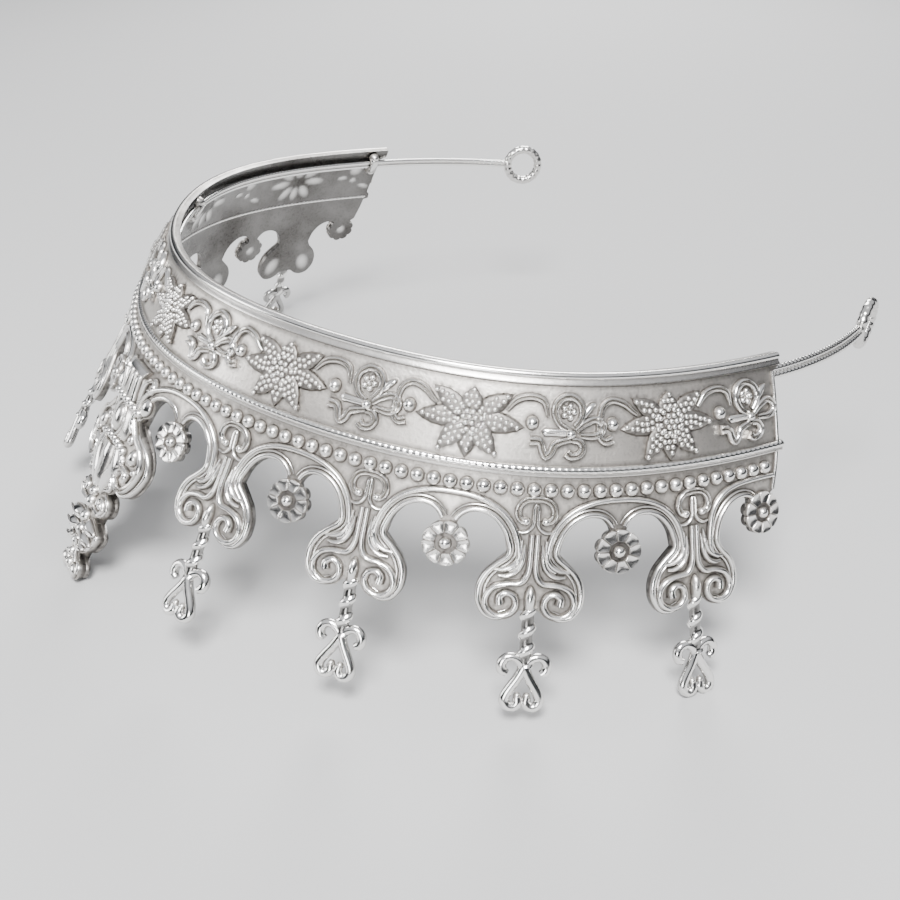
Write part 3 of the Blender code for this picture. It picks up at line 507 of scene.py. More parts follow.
def plate_outline():
    """Whole outline of the sheet that carries the ornament, anticlockwise on the drawing."""
    right = half_edge()
    left = [(-x, d) for x, d in right]
    top = [(x, TOP_DROP) for x in np.linspace(HALF_LENGTH, -HALF_LENGTH, 240)]
    return np.array(left[::-1] + right + top)


def rosette_places():
    """Centres of all ten rosettes."""
    places = [(side * x, ROSETTE_DROP) for side in (-1, 1) for x in CUSPS]
    return places + [(side * END_ROSETTE, END_ROSETTE_DROP) for side in (-1, 1)]


def rosette_outline(x, drop):
    """Scalloped outline of rounded petals."""
    angles = circle(ROSETTE_PETALS * 8)
    reach = ROSETTE_RADIUS * (0.86 + 0.14 * np.abs(np.cos(ROSETTE_PETALS * angles / 2)) ** 0.6)
    return np.stack([x + reach * np.cos(angles), drop + reach * np.sin(angles)], axis=1)


def hollows(points):
    """Share of their full depth that the back's dimples have, behind petals, bows, rosettes and volutes."""
    ovals = [(x, drop, 1.5, 1.5, 0.0) for x, drop in rosette_places()]
    for index in range(-FRIEZE_REACH, FRIEZE_REACH + 1):
        x = index * FRIEZE_STEP
        if index % 2:
            ovals += [(x - 0.5, -14.0, 2.2, 2.0, 0.0), (x + 3.4, -11.3, 1.8, 0.9, 0.0),
                      (x - 0.5, -10.2, 1.2, 1.0, 0.0), (x - 4.6, -7.8, 2.2, 0.8, -0.3)]
        else:
            ovals += [(x + tip_x * 0.6, FLOWER_DROP + tip_drop * 0.6, math.hypot(tip_x, tip_drop) * 0.36,
                       half * 0.8, math.atan2(tip_drop, tip_x)) for tip_x, tip_drop, half in FLOWER_PETALS]
    ovals += [(side * x + turn * 5.2, 19.6, 3.4, 2.1, turn * 1.25)
              for side in (-1, 1) for x in PENDANT_PLACES for turn in (-1, 1)]
    share = np.zeros(len(points))
    for x, drop, long, wide, angle in ovals:
        offset = points - np.array([x, drop])
        run = (offset[:, 0] * math.cos(angle) + offset[:, 1] * math.sin(angle)) / long
        off = (offset[:, 1] * math.cos(angle) - offset[:, 0] * math.sin(angle)) / wide
        share = np.maximum(share, np.clip(1.0 - run ** 2 - off ** 2, 0.0, 1.0))
    return share


def add_sheet(casting, outlines):
    """Triangulate the ground of the plate inside its outlines and give it its thickness."""
    relief = bpy.context.scene.crown_relief
    points, edges = [], []
    for outline in outlines:
        first, count = len(points), len(outline)
        points += [Vector(p) for p in outline]
        edges += [(first + i, first + (i + 1) % count) for i in range(count)]
    for row, drop in enumerate(np.arange(SHEET_TOP, FRONT_TOP, SHEET_STEP)):
        shift = SHEET_STEP / 2 * (row % 2)
        points += [Vector((x + shift, drop)) for x in np.arange(-HALF_LENGTH + 1, HALF_LENGTH, SHEET_STEP)]
    for drop in np.arange(FRONT_TOP, FRONT_BOTTOM, FRONT_STEP):
        points += [Vector((x, drop)) for x in np.arange(-FRONT_HALF, FRONT_HALF + FRONT_STEP / 2, FRONT_STEP)]
    result = geometry.delaunay_2d_cdt(points, edges, [], 1, SHEET_MERGE)
    corners = np.array([tuple(v) for v in result[0]])
    faces = np.array([tuple(f) for f in result[2]])
    used, faces = np.unique(faces, return_inverse=True)
    faces = faces.reshape(-1, 3)
    corners = corners[used]
    pairs = np.sort(np.vstack([faces[:, [0, 1]], faces[:, [1, 2]], faces[:, [2, 0]]]), axis=1)
    pairs, counts = np.unique(pairs, axis=0, return_counts=True)
    rim = pairs[counts == 1]
    # Painted shade with soot on the ground, darkest at the feet of the ornament, fading over its reach
    near = distances(corners, FEET) * MM / relief.soot_and_shade_reach
    soot_and_shade = GROUND_SOOT_AND_SHADE * np.clip(1.0 - near, 0.0, 1.0)
    share = hollows(corners)
    share[np.unique(rim)] = 0.0
    inset = distances(corners, outlines[0])
    rounded = (np.abs(corners[:, 0]) < ROUND_HALF) & (corners[:, 1] > ROUND_TOP)
    rise = np.where(rounded, np.sin(np.clip(inset / EDGE_ROUND, EDGE_START, 1.0) * math.pi / 2), 1.0)
    front = np.column_stack([corners, BACK + (GROUND - BACK) * rise])
    back = np.column_stack([corners, BACK + share * relief.hollow_depth / MM])
    count = len(corners)
    skin = [tuple(f) for f in faces] + [tuple(f[::-1] + count) for f in faces]
    skin += [(a, b, b + count, a + count) for a, b in rim]
    # Painted dark reflection over the back, lightened in each dimple as a painted highlight
    shade = relief.back_painted_shade * (1.0 - DIMPLE_PAINTED_GLEAM * share)
    polish = np.repeat([GROUND_POLISH, 1.0], count)
    casting.add(np.vstack([front, back]), skin, polish, np.concatenate([soot_and_shade, shade]))


# Petals of a flower: each one's tip, seen from the centre, and its half width; then the shape that
# they share, as shares of length and half width
FLOWER_PETALS = [(10.2, 0.9, 1.85), (5.4, 6.4, 2.0), (0.0, 7.2, 1.8), (-5.4, 6.4, 2.0),
                 (-10.2, 0.9, 1.85), (-7.7, -4.6, 1.8), (7.7, -4.6, 1.8), (0.0, -5.3, 2.3)]
PETAL_SHAPE = [(0.1, 0.55), (0.3, 0.9), (0.5, 0.98), (0.7, 0.78), (0.87, 0.4), (1.0, 0.0)]

# Grains of a petal, in rows across it
GRAIN_RADIUS = 0.54
GRAIN_ROW = 1.05
GRAIN_STEP = 1.15


def add_petal(casting, x, petal, base):
    """One broad petal, covered in staggered rows of grains."""
    tip_x, tip_drop, half = petal
    length = math.hypot(tip_x, tip_drop)
    place = (x, FLOWER_DROP, (tip_x / length, tip_drop / length))
    outline = doubled([(s * length, w * half) for s, w in PETAL_SHAPE])
    # The petal's face is painted dark with shade and soot, so the bright grains stand out on it
    casting.slab(turned(outline, *place), 0.45, 0.1, base=base, bevel=0.14, polish=0.45, face_soot_and_shade=0.78,
                 fringe=0.0 if base > GROUND else FRINGE)
    spots = []
    shares, widths = np.array(PETAL_SHAPE).T
    for row, run in enumerate(np.arange(2.7, length - 0.3, GRAIN_ROW)):
        width = np.interp(run / length, shares, widths) * half - 0.3
        count = max(1, int(round(width * 2 / GRAIN_STEP)))
        for k in range(count):
            off = (k - (count - 1) / 2) * min(GRAIN_STEP, width * 2 / count) + 0.2 * (-1) ** row
            spots.append((run, off))
    casting.grains(turned(spots, *place), GRAIN_RADIUS, base + 0.38)


def add_flower(casting, x):
    """One flower with grained petals, two berries and two tendrils."""
    for index, petal in enumerate(FLOWER_PETALS):
        add_petal(casting, x, petal, GROUND + 0.28 * (index % 2))
    casting.dome(x, FLOWER_DROP, 2.9, 2.5, 0.9, cols=14, rows=3, polish=0.5)
    casting.grains(ring_of(x, FLOWER_DROP, 2.2, 11), 0.56, GROUND + 0.75)
    casting.grains(ring_of(x, FLOWER_DROP, 1.15, 6) + [(x, FLOWER_DROP)], 0.58, GROUND + 1.0)
    for side in (-1, 1):
        casting.dome(x + side * 11.8, FLOWER_DROP - 0.1, 1.3, 1.3, 1.35, cols=16, rows=5)
    right = [(6.8, -2.0), (8.6, -4.0), (11.4, -4.7), (13.9, -3.9), (14.7, -1.2)]
    left = [(-6.6, -1.6), (-7.6, -2.3), (-9.4, -3.7), (-11.9, -4.3), (-13.7, -3.2), (-14.3, -1.1),
            (-14.5, 0.9), (-14.3, 2.3), (-13.3, 3.0), (-12.0, 2.6)]
    for stem, ends in ((right, (0.6, 0.4)), (left, (0.6, 1.3))):
        casting.stroke(stem, 0.6, 0.9, DOUBLE, x, drop=FLOWER_DROP, ends=ends)


def add_bow(casting, x):
    """One tied ribbon bow."""
    ribbons = [
        ([(-0.8, -11.0), (-2.6, -12.0), (-3.6, -14.0), (-3.1, -15.8), (-1.4, -16.9), (0.6, -16.5),
          (1.8, -14.9), (1.5, -13.0), (0.4, -11.6)], (0.7, 0.8)),
        ([(0.6, -10.8), (2.2, -12.1), (4.2, -12.9), (5.7, -12.1), (5.6, -10.7), (4.0, -9.9),
          (1.4, -10.0)], (0.7, 0.8)),
        ([(-0.4, -9.3), (-2.0, -8.9), (-3.4, -8.3), (-4.0, -7.0), (-5.0, -6.2), (-5.6, -7.2),
          (-6.2, -8.7), (-8.0, -8.9)], (0.8, 1.3)),
        ([(-0.2, -9.2), (1.2, -9.0), (1.9, -7.8), (1.2, -6.6), (-0.2, -6.3), (-1.1, -6.9)],
         (0.8, 1.2)),
    ]
    for points, ends in ribbons:
        casting.stroke(points, 0.68, 1.0, DOUBLE, x, ends=ends)
    leaf = [(1.5, -13.0), (2.4, -14.9), (3.6, -15.8), (4.5, -15.7), (3.6, -14.4), (2.4, -13.2)]
    casting.leaf(leaf, 0.65, 0.2, x, bevel=0.16)
    strap = [(-1.2, -9.9), (-5.4, -9.8), (-6.0, -10.6), (-5.4, -11.2), (-1.2, -11.0)]
    casting.slab(placed(strap, x), 0.6, 0.15, bevel=0.16)
    casting.band(placed([(-1.4, -10.45), (-3.2, -10.5), (-5.2, -10.5)], x), 0.16, 0.35, base=GROUND + 0.6,
                 fringe=0.0)
    casting.dome(x - 0.4, -10.3, 1.15, 0.95, 1.3)
    for petal in ring_of(x - 0.9, -14.2, 1.05, 5):
        casting.dome(*petal, 0.68, 0.68, 0.85, cols=10, rows=3)
    casting.dome(x - 0.9, -14.2, 0.55, 0.55, 1.1, cols=8, rows=3)


# Sections of the two rims as (drop, height)
TOP_MOULDING = [(-21.15, -0.6), (-21.2, 0.2), (-21.15, 0.95), (-20.95, 1.3), (-20.6, 1.4),
                (-20.25, 1.36), (-20.0, 1.15), (-19.88, 0.92), (-19.5, 0.92), (-19.1, 1.06),
                (-18.85, 1.04), (-18.7, 0.8), (-18.62, 0.2), (-18.62, -0.55)]
SECOND_MOULDING = [(-4.45, 0.3), (-4.38, 0.95), (-4.15, 1.2), (-3.85, 1.3), (-3.5, 1.3), (-3.2, 1.15),
                   (-3.05, 0.85), (-2.85, 0.8), (-2.7, 0.92), (-2.5, 0.85), (-2.42, 0.3)]

# Each rim with its half length, the height that is fully bright and the depth of its milling
MOULDINGS = ((TOP_MOULDING, TOP_HALF_LENGTH, 1.35, 0.0),
             (SECOND_MOULDING, TOP_HALF_LENGTH - 2.0, 1.2, 0.07))
MILL_STEP = 0.3
MILL_TOP = -3.7

# Milled cord behind the second rim
CORD_DROP = -3.6
CORD_REACH = TOP_HALF_LENGTH - 3.2
CORD_STEP = 0.34
CORD_RADIUS = 0.46
CORD_MILLING = 0.08


def add_mouldings(casting):
    """Top rim, second rim, the beads, and the milled cord behind the second rim."""
    for moulding, reach, high, milling in MOULDINGS:
        rings = []
        for x in np.arange(-reach, reach + MILL_STEP / 2, MILL_STEP):
            cut = milling * math.cos(2 * math.pi * x / (4 * MILL_STEP))
            rings.append([(x, d, h + cut if d < MILL_TOP else h) for d, h in moulding])
        rises = np.array([h for _, h in moulding]) / high
        # Painted shade with soot on the low parts of each rim, darkest in the shadow under it
        casting.loft(rings, np.clip(rises, FOOT_POLISH, 1.0), np.clip(2.0 - 2.4 * rises, 0.0, 0.9))
        for end in (-1, 0):
            casting.feet += [(x, moulding[end][0]) for x in np.arange(-reach, reach, 0.4)]
    bead_height = bpy.context.scene.crown_relief.bead_height / MM
    for index in range(-BEADS_PER_SIDE, BEADS_PER_SIDE):
        casting.dome((index + 0.5) * BEAD_PITCH, 0.0, 1.32, 1.3, bead_height, cols=16, rows=5)
    rings = []
    for x in np.arange(-CORD_REACH, CORD_REACH + CORD_STEP / 2, CORD_STEP):
        radius = CORD_RADIUS + CORD_MILLING * math.cos(2 * math.pi * x / (4 * CORD_STEP))
        rings.append([(x, CORD_DROP + radius * math.cos(a), BACK + 0.1 + radius * math.sin(a))
                      for a in circle(8)])
    casting.loft(rings, 0.9, 0.0)


def edge_runs():
    """Stretches of the plate's lower edge that carry one unbroken rim."""
    runs = []
    for index, cusp in enumerate(CUSPS + (END_ROSETTE,)):
        inner = placed(ARCH_EDGE[1:], cusp, -1)
        if index == 0:
            inner += FRONT_LOBE
        else:
            inner += placed(HEART_EDGE[:-1], PENDANT_PLACES[index - 1])
        runs.append(inner)
        if index < len(CUSPS):
            runs.append(placed(ARCH_EDGE[1:], cusp) + placed(HEART_EDGE[:-1], PENDANT_PLACES[index], -1))
    runs += [FRONT_KNOB, FRONT_TIER, FRONT_FOOT]
    return runs + [[(-x, d) for x, d in run] for run in runs]


# Rim along the edge, how far it is lowered on the front pendant's rounded edge, and the finer line
RIM_HALF = 0.58
RIM_HEIGHT = 0.8
RIM_SINK = 0.5
INNER_HALF = 0.24
INNER_HEIGHT = 0.45
INNER_SET_IN = 1.5


def add_rims(casting, outline):
    """Raised rims along the lower edge and the ends, with a finer line inside but for the front pendant."""
    for run in edge_runs():
        path = smooth(run)
        side = sideways(path)
        if inside_polygon(path + side * RIM_HALF, outline).mean() < 0.5:
            side = -side
        front = run[-1][1] > HEART_EDGE[-2][1]
        casting.band(path + side * RIM_HALF, RIM_HALF, RIM_HEIGHT, ends=(0.7, 0.7),
                     base=GROUND - RIM_SINK if front else GROUND, fringe=0.0)
        if not front:
            casting.band(path + side * INNER_SET_IN, INNER_HALF, INNER_HEIGHT, ends=(0.3, 0.3))
    line = [(x - 0.5, d) for x, d in END_EDGE]
    for side in (-1, 1):
        for start, stop in ((0, 3), (4, 7)):
            casting.stroke(line[start:stop], 0.42, 0.6, x=side * TOP_HALF_LENGTH, side=side, steps=6,
                           fringe=0.0)


def arch_line(x):
    """Line over one pair of openings, curling out on to the pendants on both sides."""
    angles = np.linspace(math.pi, 0.0, 33)
    cosines, sines = np.cos(angles), np.abs(np.sin(angles))
    across = ARCH_HALF * np.sign(cosines) * np.abs(cosines) ** (2 / ARCH_POWER)
    down = ARCH_FOOT - (ARCH_FOOT - ARCH_TOP) * sines ** (2 / ARCH_POWER)
    curl = [(12.4, 13.6), (11.9, 14.3), (11.0, 14.8)]
    points = [(-px, d) for px, d in curl[::-1]] + list(zip(across, down)) + curl
    return np.array([(x + px, d) for px, d in points])


# Line over the openings
LINE_HALF = 0.55
LINE_HEIGHT = 0.9


def add_arcade(casting):
    """Lines over the openings."""
    half = [(-11.0, 14.8), (-12.4, 13.6), (-12.5, 9.5), (-11.4, 5.4), (-8.8, 2.9), (-5.0, 1.9),
            (0.0, 1.75), (3.4, 1.9)]
    for side in (-1, 1):
        for x in CUSPS:
            casting.band(arch_line(side * x), LINE_HALF, LINE_HEIGHT)
        casting.stroke(half, LINE_HALF, LINE_HEIGHT, x=side * END_ROSETTE, side=side, ends=(1.0, 0.8))


def add_rosette(casting, x, drop):
    """One rosette: hollowed petals parted by grooves, round a ball in a pit painted dark with shade and soot.
    """
    casting.slab(rosette_outline(x, drop), 0.35, 0.0, bevel=0.2, polish=0.4, face_soot_and_shade=0.9, fringe=0.0)
    petal = doubled([(1.85, 0.62), (2.5, 0.88), (3.2, 1.14), (3.7, 1.26), (4.05, 0.85), (4.14, 0.0)])
    for turn in circle(ROSETTE_PETALS):
        casting.slab(turned(petal, x, drop, (math.cos(turn), math.sin(turn))), 0.75, -0.16, bevel=0.12,
                     polish=0.85, soot_and_shade=0.6, fringe=0.0)
    casting.dome(x, drop, 1.15, 1.15, 1.3, base=GROUND + 0.25, cols=16, rows=5, soot_and_shade=1.0, foot=False)


def add_omega(casting, x):
    """Horseshoe ribbon with a stem and an anchor foot at the head of a pendant."""
    half = [(1.5, 5.8), (2.7, 5.4), (3.2, 4.2), (2.85, 2.7), (1.75, 1.8), (0.0, 1.55)]
    points = half + [(-px, d) for px, d in half[-2::-1]]
    casting.stroke(points, 0.58, 0.95, DOUBLE, x)
    stem = [(0.1, 2.6), (0.36, 3.2), (0.38, 5.0), (0.44, 6.3), (1.1, 7.3), (2.1, 7.75), (3.1, 7.6)]
    for side in (-1, 1):
        casting.dome(x + side * 1.75, 5.7, 0.85, 0.8, 1.1, cols=10, rows=3)
        casting.stroke(stem, 0.34, 0.7, x=x, side=side, ends=(0.6, 0.6))


def add_heart(casting, x):
    """Neck lines, shoulder leaves, volutes and capsule of a side pendant."""
    line = [(0.5, 8.1), (0.5, 11.0), (0.55, 14.2), (1.0, 16.0), (2.0, 17.1), (4.0, 17.3),
            (6.2, 18.2), (7.3, 20.2), (6.9, 22.2), (5.2, 23.3), (3.2, 22.8), (2.3, 21.2),
            (2.7, 19.6), (4.0, 19.0), (5.0, 19.8), (4.9, 21.1)]
    leaves = ([(2.05, 9.2), (2.25, 11.6), (2.9, 13.4), (4.5, 14.6), (6.3, 14.9)],
              [(1.5, 10.0), (1.75, 12.8), (2.5, 14.7), (4.0, 15.8), (5.6, 15.9)])
    for side in (-1, 1):
        casting.stroke(line, 0.58, 1.05, x=x, side=side, ends=(0.8, 1.35))
        for leaf in leaves:
            casting.stroke(leaf, 0.5, 0.95, x=x, side=side, ends=(0.3, 0.6))
    casting.dome(x, 20.1, 0.95, 2.6, 1.45, cols=16, rows=5)


# Twisted rod: its ends, the pitch and height of its spiral, its radius and the height of its axis
ROD_TOP = 21.6
ROD_BOTTOM = 32.8
ROD_PITCH = 3.6
ROD_RIDGE = 0.48
ROD_RADIUS = 1.0
ROD_AXIS = 0.35

# Free bar of a finial: its half width and half thickness, the height of its axis, and its blunt ends
BAR_HALF = 0.86
BAR_THICK = 0.95
BAR_AXIS = 0.25
BAR_END = 0.85
BAR_TAPER = 0.1


def add_rod(casting, x):
    """Twisted rod: a round core wound by a raised spiral, with painted shade and soot between its turns."""
    rings = []
    for drop in np.linspace(ROD_TOP, ROD_BOTTOM, 60):
        ring = []
        for angle in circle(14):
            wave = math.cos(2 * math.pi * (drop / ROD_PITCH - angle / (2 * math.pi)))
            radius = ROD_RADIUS + ROD_RIDGE * max(0.0, wave) ** 0.8
            ring.append((x + radius * math.cos(angle), drop, ROD_AXIS + radius * math.sin(angle) * 0.9))
        rings.append(ring)
    first = len(casting.points)
    casting.loft(rings, 1.0, 0.0)
    reach = np.hypot(*(np.array(casting.points[first:])[:, [0, 2]] - np.array([x, ROD_AXIS])).T)
    # Painted shade with soot in the crevices, deepest below the ridge
    casting.soot_and_shade[first:] = np.clip((ROD_RADIUS + 0.08 - reach) * 8.0, 0.0, 0.8).tolist()


def add_bar(casting, path):
    """Run a free round bar with blunt ends along a flat path, with painted shade on its flanks and back."""
    angles = circle(10)
    shares = taper(len(path), (BAR_END, BAR_END), BAR_TAPER)
    rings = [[(*(point + normal * math.cos(a) * BAR_HALF * size), BAR_AXIS + math.sin(a) * BAR_THICK * size)
              for a in angles] for point, normal, size in zip(path, sideways(path), shares)]
    soot_and_shade = bpy.context.scene.crown_relief.bar_painted_shade
    casting.loft(rings, 1.0, soot_and_shade * (1.0 - np.clip(np.sin(angles), 0.0, 1.0)))


def add_finial(casting, x):
    """Open finial of bent bars: hooks above, legs curling inwards below."""
    hook = [(-0.2, 33.7), (0.4, 32.3), (1.1, 31.5), (2.1, 31.1), (3.1, 31.5), (3.6, 32.6), (3.4, 33.8),
            (2.7, 34.3)]
    leg = [(-0.3, 31.9), (0.15, 33.3), (0.9, 35.1), (1.8, 36.8), (2.5, 38.3), (2.7, 39.5), (2.2, 40.5),
           (1.3, 40.7), (0.65, 39.9), (0.75, 38.8)]
    for side in (-1, 1):
        for points in (hook, leg):
            add_bar(casting, smooth(placed(points, x, side)))
        casting.dome(x + side * 0.75, 38.6, 0.6, 0.7, 0.75, base=0.1, cols=8, rows=3, foot=False)
    casting.dome(x, 33.0, 1.1, 1.3, 0.8, base=0.3, cols=10, rows=3, foot=False)


def add_column(casting):
    """Capital and flutes at the head of the front pendant, with a leafy scroll on each side."""
    casting.slab([(-3.7, 1.9), (3.7, 1.9), (3.5, 3.5), (-3.5, 3.5)], 1.5, 0.2, bevel=0.3)
    casting.slab([(-3.3, 3.4), (3.3, 3.4), (3.3, 9.0), (-3.3, 9.0)], 0.5, 0.3, bevel=0.3, polish=0.4)
    for x in (-2.2, 0.0, 2.2):
        casting.stroke([(x, 3.3), (x, 5.2), (x, 7.2), (x * 1.1, 9.0)], 0.9, 1.1, ends=(0.8, 0.9),
                       base=GROUND + 0.4, fringe=0.0)
    scroll = [(4.2, 9.0), (4.3, 6.0), (4.9, 3.6), (6.3, 2.7), (7.5, 3.6), (7.3, 5.0), (6.2, 5.3)]
    tongue = [(5.6, 9.4), (6.0, 7.4), (7.3, 6.4), (8.6, 7.2), (8.6, 9.2), (7.2, 10.4)]
    for side in (-1, 1):
        casting.stroke(scroll, 0.5, 0.9, DOUBLE, side=side, ends=(0.7, 1.1))
        casting.leaf(tongue, 0.7, 0.5, side=side)


def add_lobes(casting):
    """Middle of the front pendant: cross bands, cabochon and the two wide lobes."""
    block = [(-4.4, 11.2), (0.0, 10.6), (4.4, 11.2), (4.9, 14.4), (4.2, 17.6), (0.0, 18.2),
             (-4.2, 17.6), (-4.9, 14.4)]
    casting.leaf(block, 0.7, 0.4, bevel=0.3, polish=0.8)
    for step, drop, sag, *sizes in ((1.9, 9.9, 0.05, 1.15, 1.05, 1.6), (1.6, 19.0, 0.06, 1.05, 1.0, 1.4)):
        for index in range(-3, 4):
            casting.dome(index * step, drop + sag * index * index, *sizes)
    casting.dome(0.0, 14.2, 1.85, 3.1, 1.3, base=GROUND + 0.8, cols=18, rows=6, foot=False)
    oval = [(2.35 * math.cos(a), 14.2 + 3.7 * math.sin(a)) for a in circle(32)]
    casting.band(oval, 0.26, 0.5, closed=True, base=GROUND + 0.8, fringe=0.0)
    coil = [(5.2, 12.2), (7.6, 15.0), (10.4, 17.0), (11.9, 20.0), (11.3, 23.4), (9.4, 26.2),
            (7.0, 26.8), (5.5, 25.2), (5.8, 23.2), (7.4, 22.3), (8.9, 23.1), (8.7, 24.5)]
    for side in (-1, 1):
        casting.stroke(coil, 0.6, 1.2, DOUBLE, side=side, ends=(0.8, 1.2))
        casting.dome(side * 8.6, 19.2, 1.3, 1.9, 1.3, cols=14)
        casting.dome(side * 6.0, 16.4, 0.9, 1.2, 0.9, cols=10, rows=3)
        for x, drop in placed([(4.9, 20.4), (5.6, 21.6), (10.2, 21.8)], 0.0, side):
            casting.dome(x, drop, 0.8, 0.8, 0.9, cols=9, rows=3)


def add_lily(casting):
    """Fluted leaves that run together downwards under the cabochon, and the curled lips."""
    for spread in (-4.4, 0.0, 4.4):
        points = [(spread * 0.75, 20.2), (spread, 22.6), (spread * 0.85, 25.4), (spread * 0.5, 28.4),
                  (spread * 0.3, 31.2)]
        casting.stroke(points, 2.1, 1.8 - 0.1 * abs(spread), ends=(0.8, 0.4))
    lip = [(1.6, 31.0), (2.2, 29.0), (3.4, 27.4), (5.0, 27.2), (5.2, 28.6), (4.1, 29.2)]
    for side in (-1, 1):
        casting.stroke(lip, 0.5, 1.0, side=side, ends=(0.6, 1.1))


# Leaves of the front pendant's tiers, on its right side
LEAVES = ([(0.9, 38.9), (1.9, 37.8), (3.3, 37.9), (5.9, 39.2), (4.9, 40.5), (3.0, 40.7), (1.5, 40.2)],
          [(0.9, 41.2), (2.4, 40.9), (4.2, 41.1), (5.6, 42.0), (4.3, 43.2), (2.8, 43.4), (1.5, 42.7)],
          [(0.9, 43.2), (1.9, 43.5), (3.2, 43.8), (3.7, 44.4), (2.6, 45.3), (1.7, 45.5), (1.1, 44.8)])


def add_tail(casting):
    """Knobs, leafy tiers, stem and ball feet at the lower end of the front pendant."""
    coil = [(1.2, 34.9), (2.6, 35.0), (4.6, 34.8), (5.5, 33.2), (4.6, 31.8), (3.2, 32.2), (3.2, 33.4)]
    for side in (-1, 1):
        casting.stroke(coil, 0.5, 1.0, side=side, ends=(0.8, 1.2))
        casting.dome(side * 4.1, 33.2, 0.8, 0.8, 1.2)
        for leaf in LEAVES:
            casting.leaf(leaf, 0.75, 0.8, side=side, bevel=0.35)
            vein = [leaf[0], smooth(leaf, 3, True).mean(axis=0), leaf[3]]
            casting.stroke(vein, 0.3, 0.5, side=side, steps=3, ends=(0.6, 0.3), base=GROUND + 1.15,
                           fringe=0.0)
        casting.dome(side * 2.2, 50.3, 1.5, 1.7, 1.2, cols=14, rows=5)
        casting.band([(side * 0.8, 45.4), (side * 0.9, 46.8), (side * 1.8, 48.4)], 0.45, 0.9)
    spine = ((31.9, 1.1, 1.2), (34.4, 1.3, 1.7), (38.2, 1.3, 1.7), (41.4, 1.2, 1.6), (44.4, 1.1, 1.6),
             (47.2, 0.9, 1.5), (49.8, 1.1, 1.3))
    for drop, across, down in spine:
        casting.dome(0.0, drop, across, down, 1.7, rows=5)


class Wiring:
    """Short ways to add and join the nodes of one shader group."""

    def __init__(self, tree):
        self.tree = tree

    def join(self, source, socket):
        """Feed a socket from a number or from another node's output."""
        if isinstance(source, (int, float)):
            socket.default_value = source
        else:
            self.tree.links.new(source, socket)

    def ramp(self, source, low, high, to_low, to_high):
        """Map a value from one range to another, clamped."""
        node = self.tree.nodes.new("ShaderNodeMapRange")
        for label, value in (("From Min", low), ("From Max", high), ("To Min", to_low), ("To Max", to_high)):
            node.inputs[label].default_value = value
        self.join(source, node.inputs["Value"])
        return node.outputs["Result"]

    def math(self, kind, first, second):
        """Combine two values."""
        node = self.tree.nodes.new("ShaderNodeMath")
        node.operation = kind
        self.join(first, node.inputs[0])
        self.join(second, node.inputs[1])
        return node.outputs[0]

    def mix(self, share, first, second):
        """Mix two colours."""
        node = self.tree.nodes.new("ShaderNodeMix")
        node.data_type = "RGBA"
        for source, label in ((share, "Factor_Float"), (first, "A_Color"), (second, "B_Color")):
            socket = next(item for item in node.inputs if item.identifier == label)
            self.join(source, socket)
        return next(item for item in node.outputs if item.identifier == "Result_Color")

    def noise(self, vector, scale, detail):
        """Cloudy noise in object space."""
        node = self.tree.nodes.new("ShaderNodeTexNoise")
        node.inputs["Detail"].default_value = detail
        self.join(vector, node.inputs["Vector"])
        self.join(scale, node.inputs["Scale"])
        return node.outputs["Fac"]


# Sockets of the shader group
PATINA_INPUTS = (
    ("Polish", "Float", 1.0),
    ("Soot and shade", "Float", 0.0),
    ("Bright", "Color", (0.95, 0.94, 0.92, 1.0)),
    ("Bloom", "Color", (0.62, 0.59, 0.55, 1.0)),
    ("Dark", "Color", (0.05, 0.045, 0.04, 1.0)),
    ("Patch size", "Float", 60.0),
    ("Grain size", "Float", 1500.0),
)
PATINA_OUTPUTS = (("Color", "Color"), ("Roughness", "Float"), ("Height", "Float"))


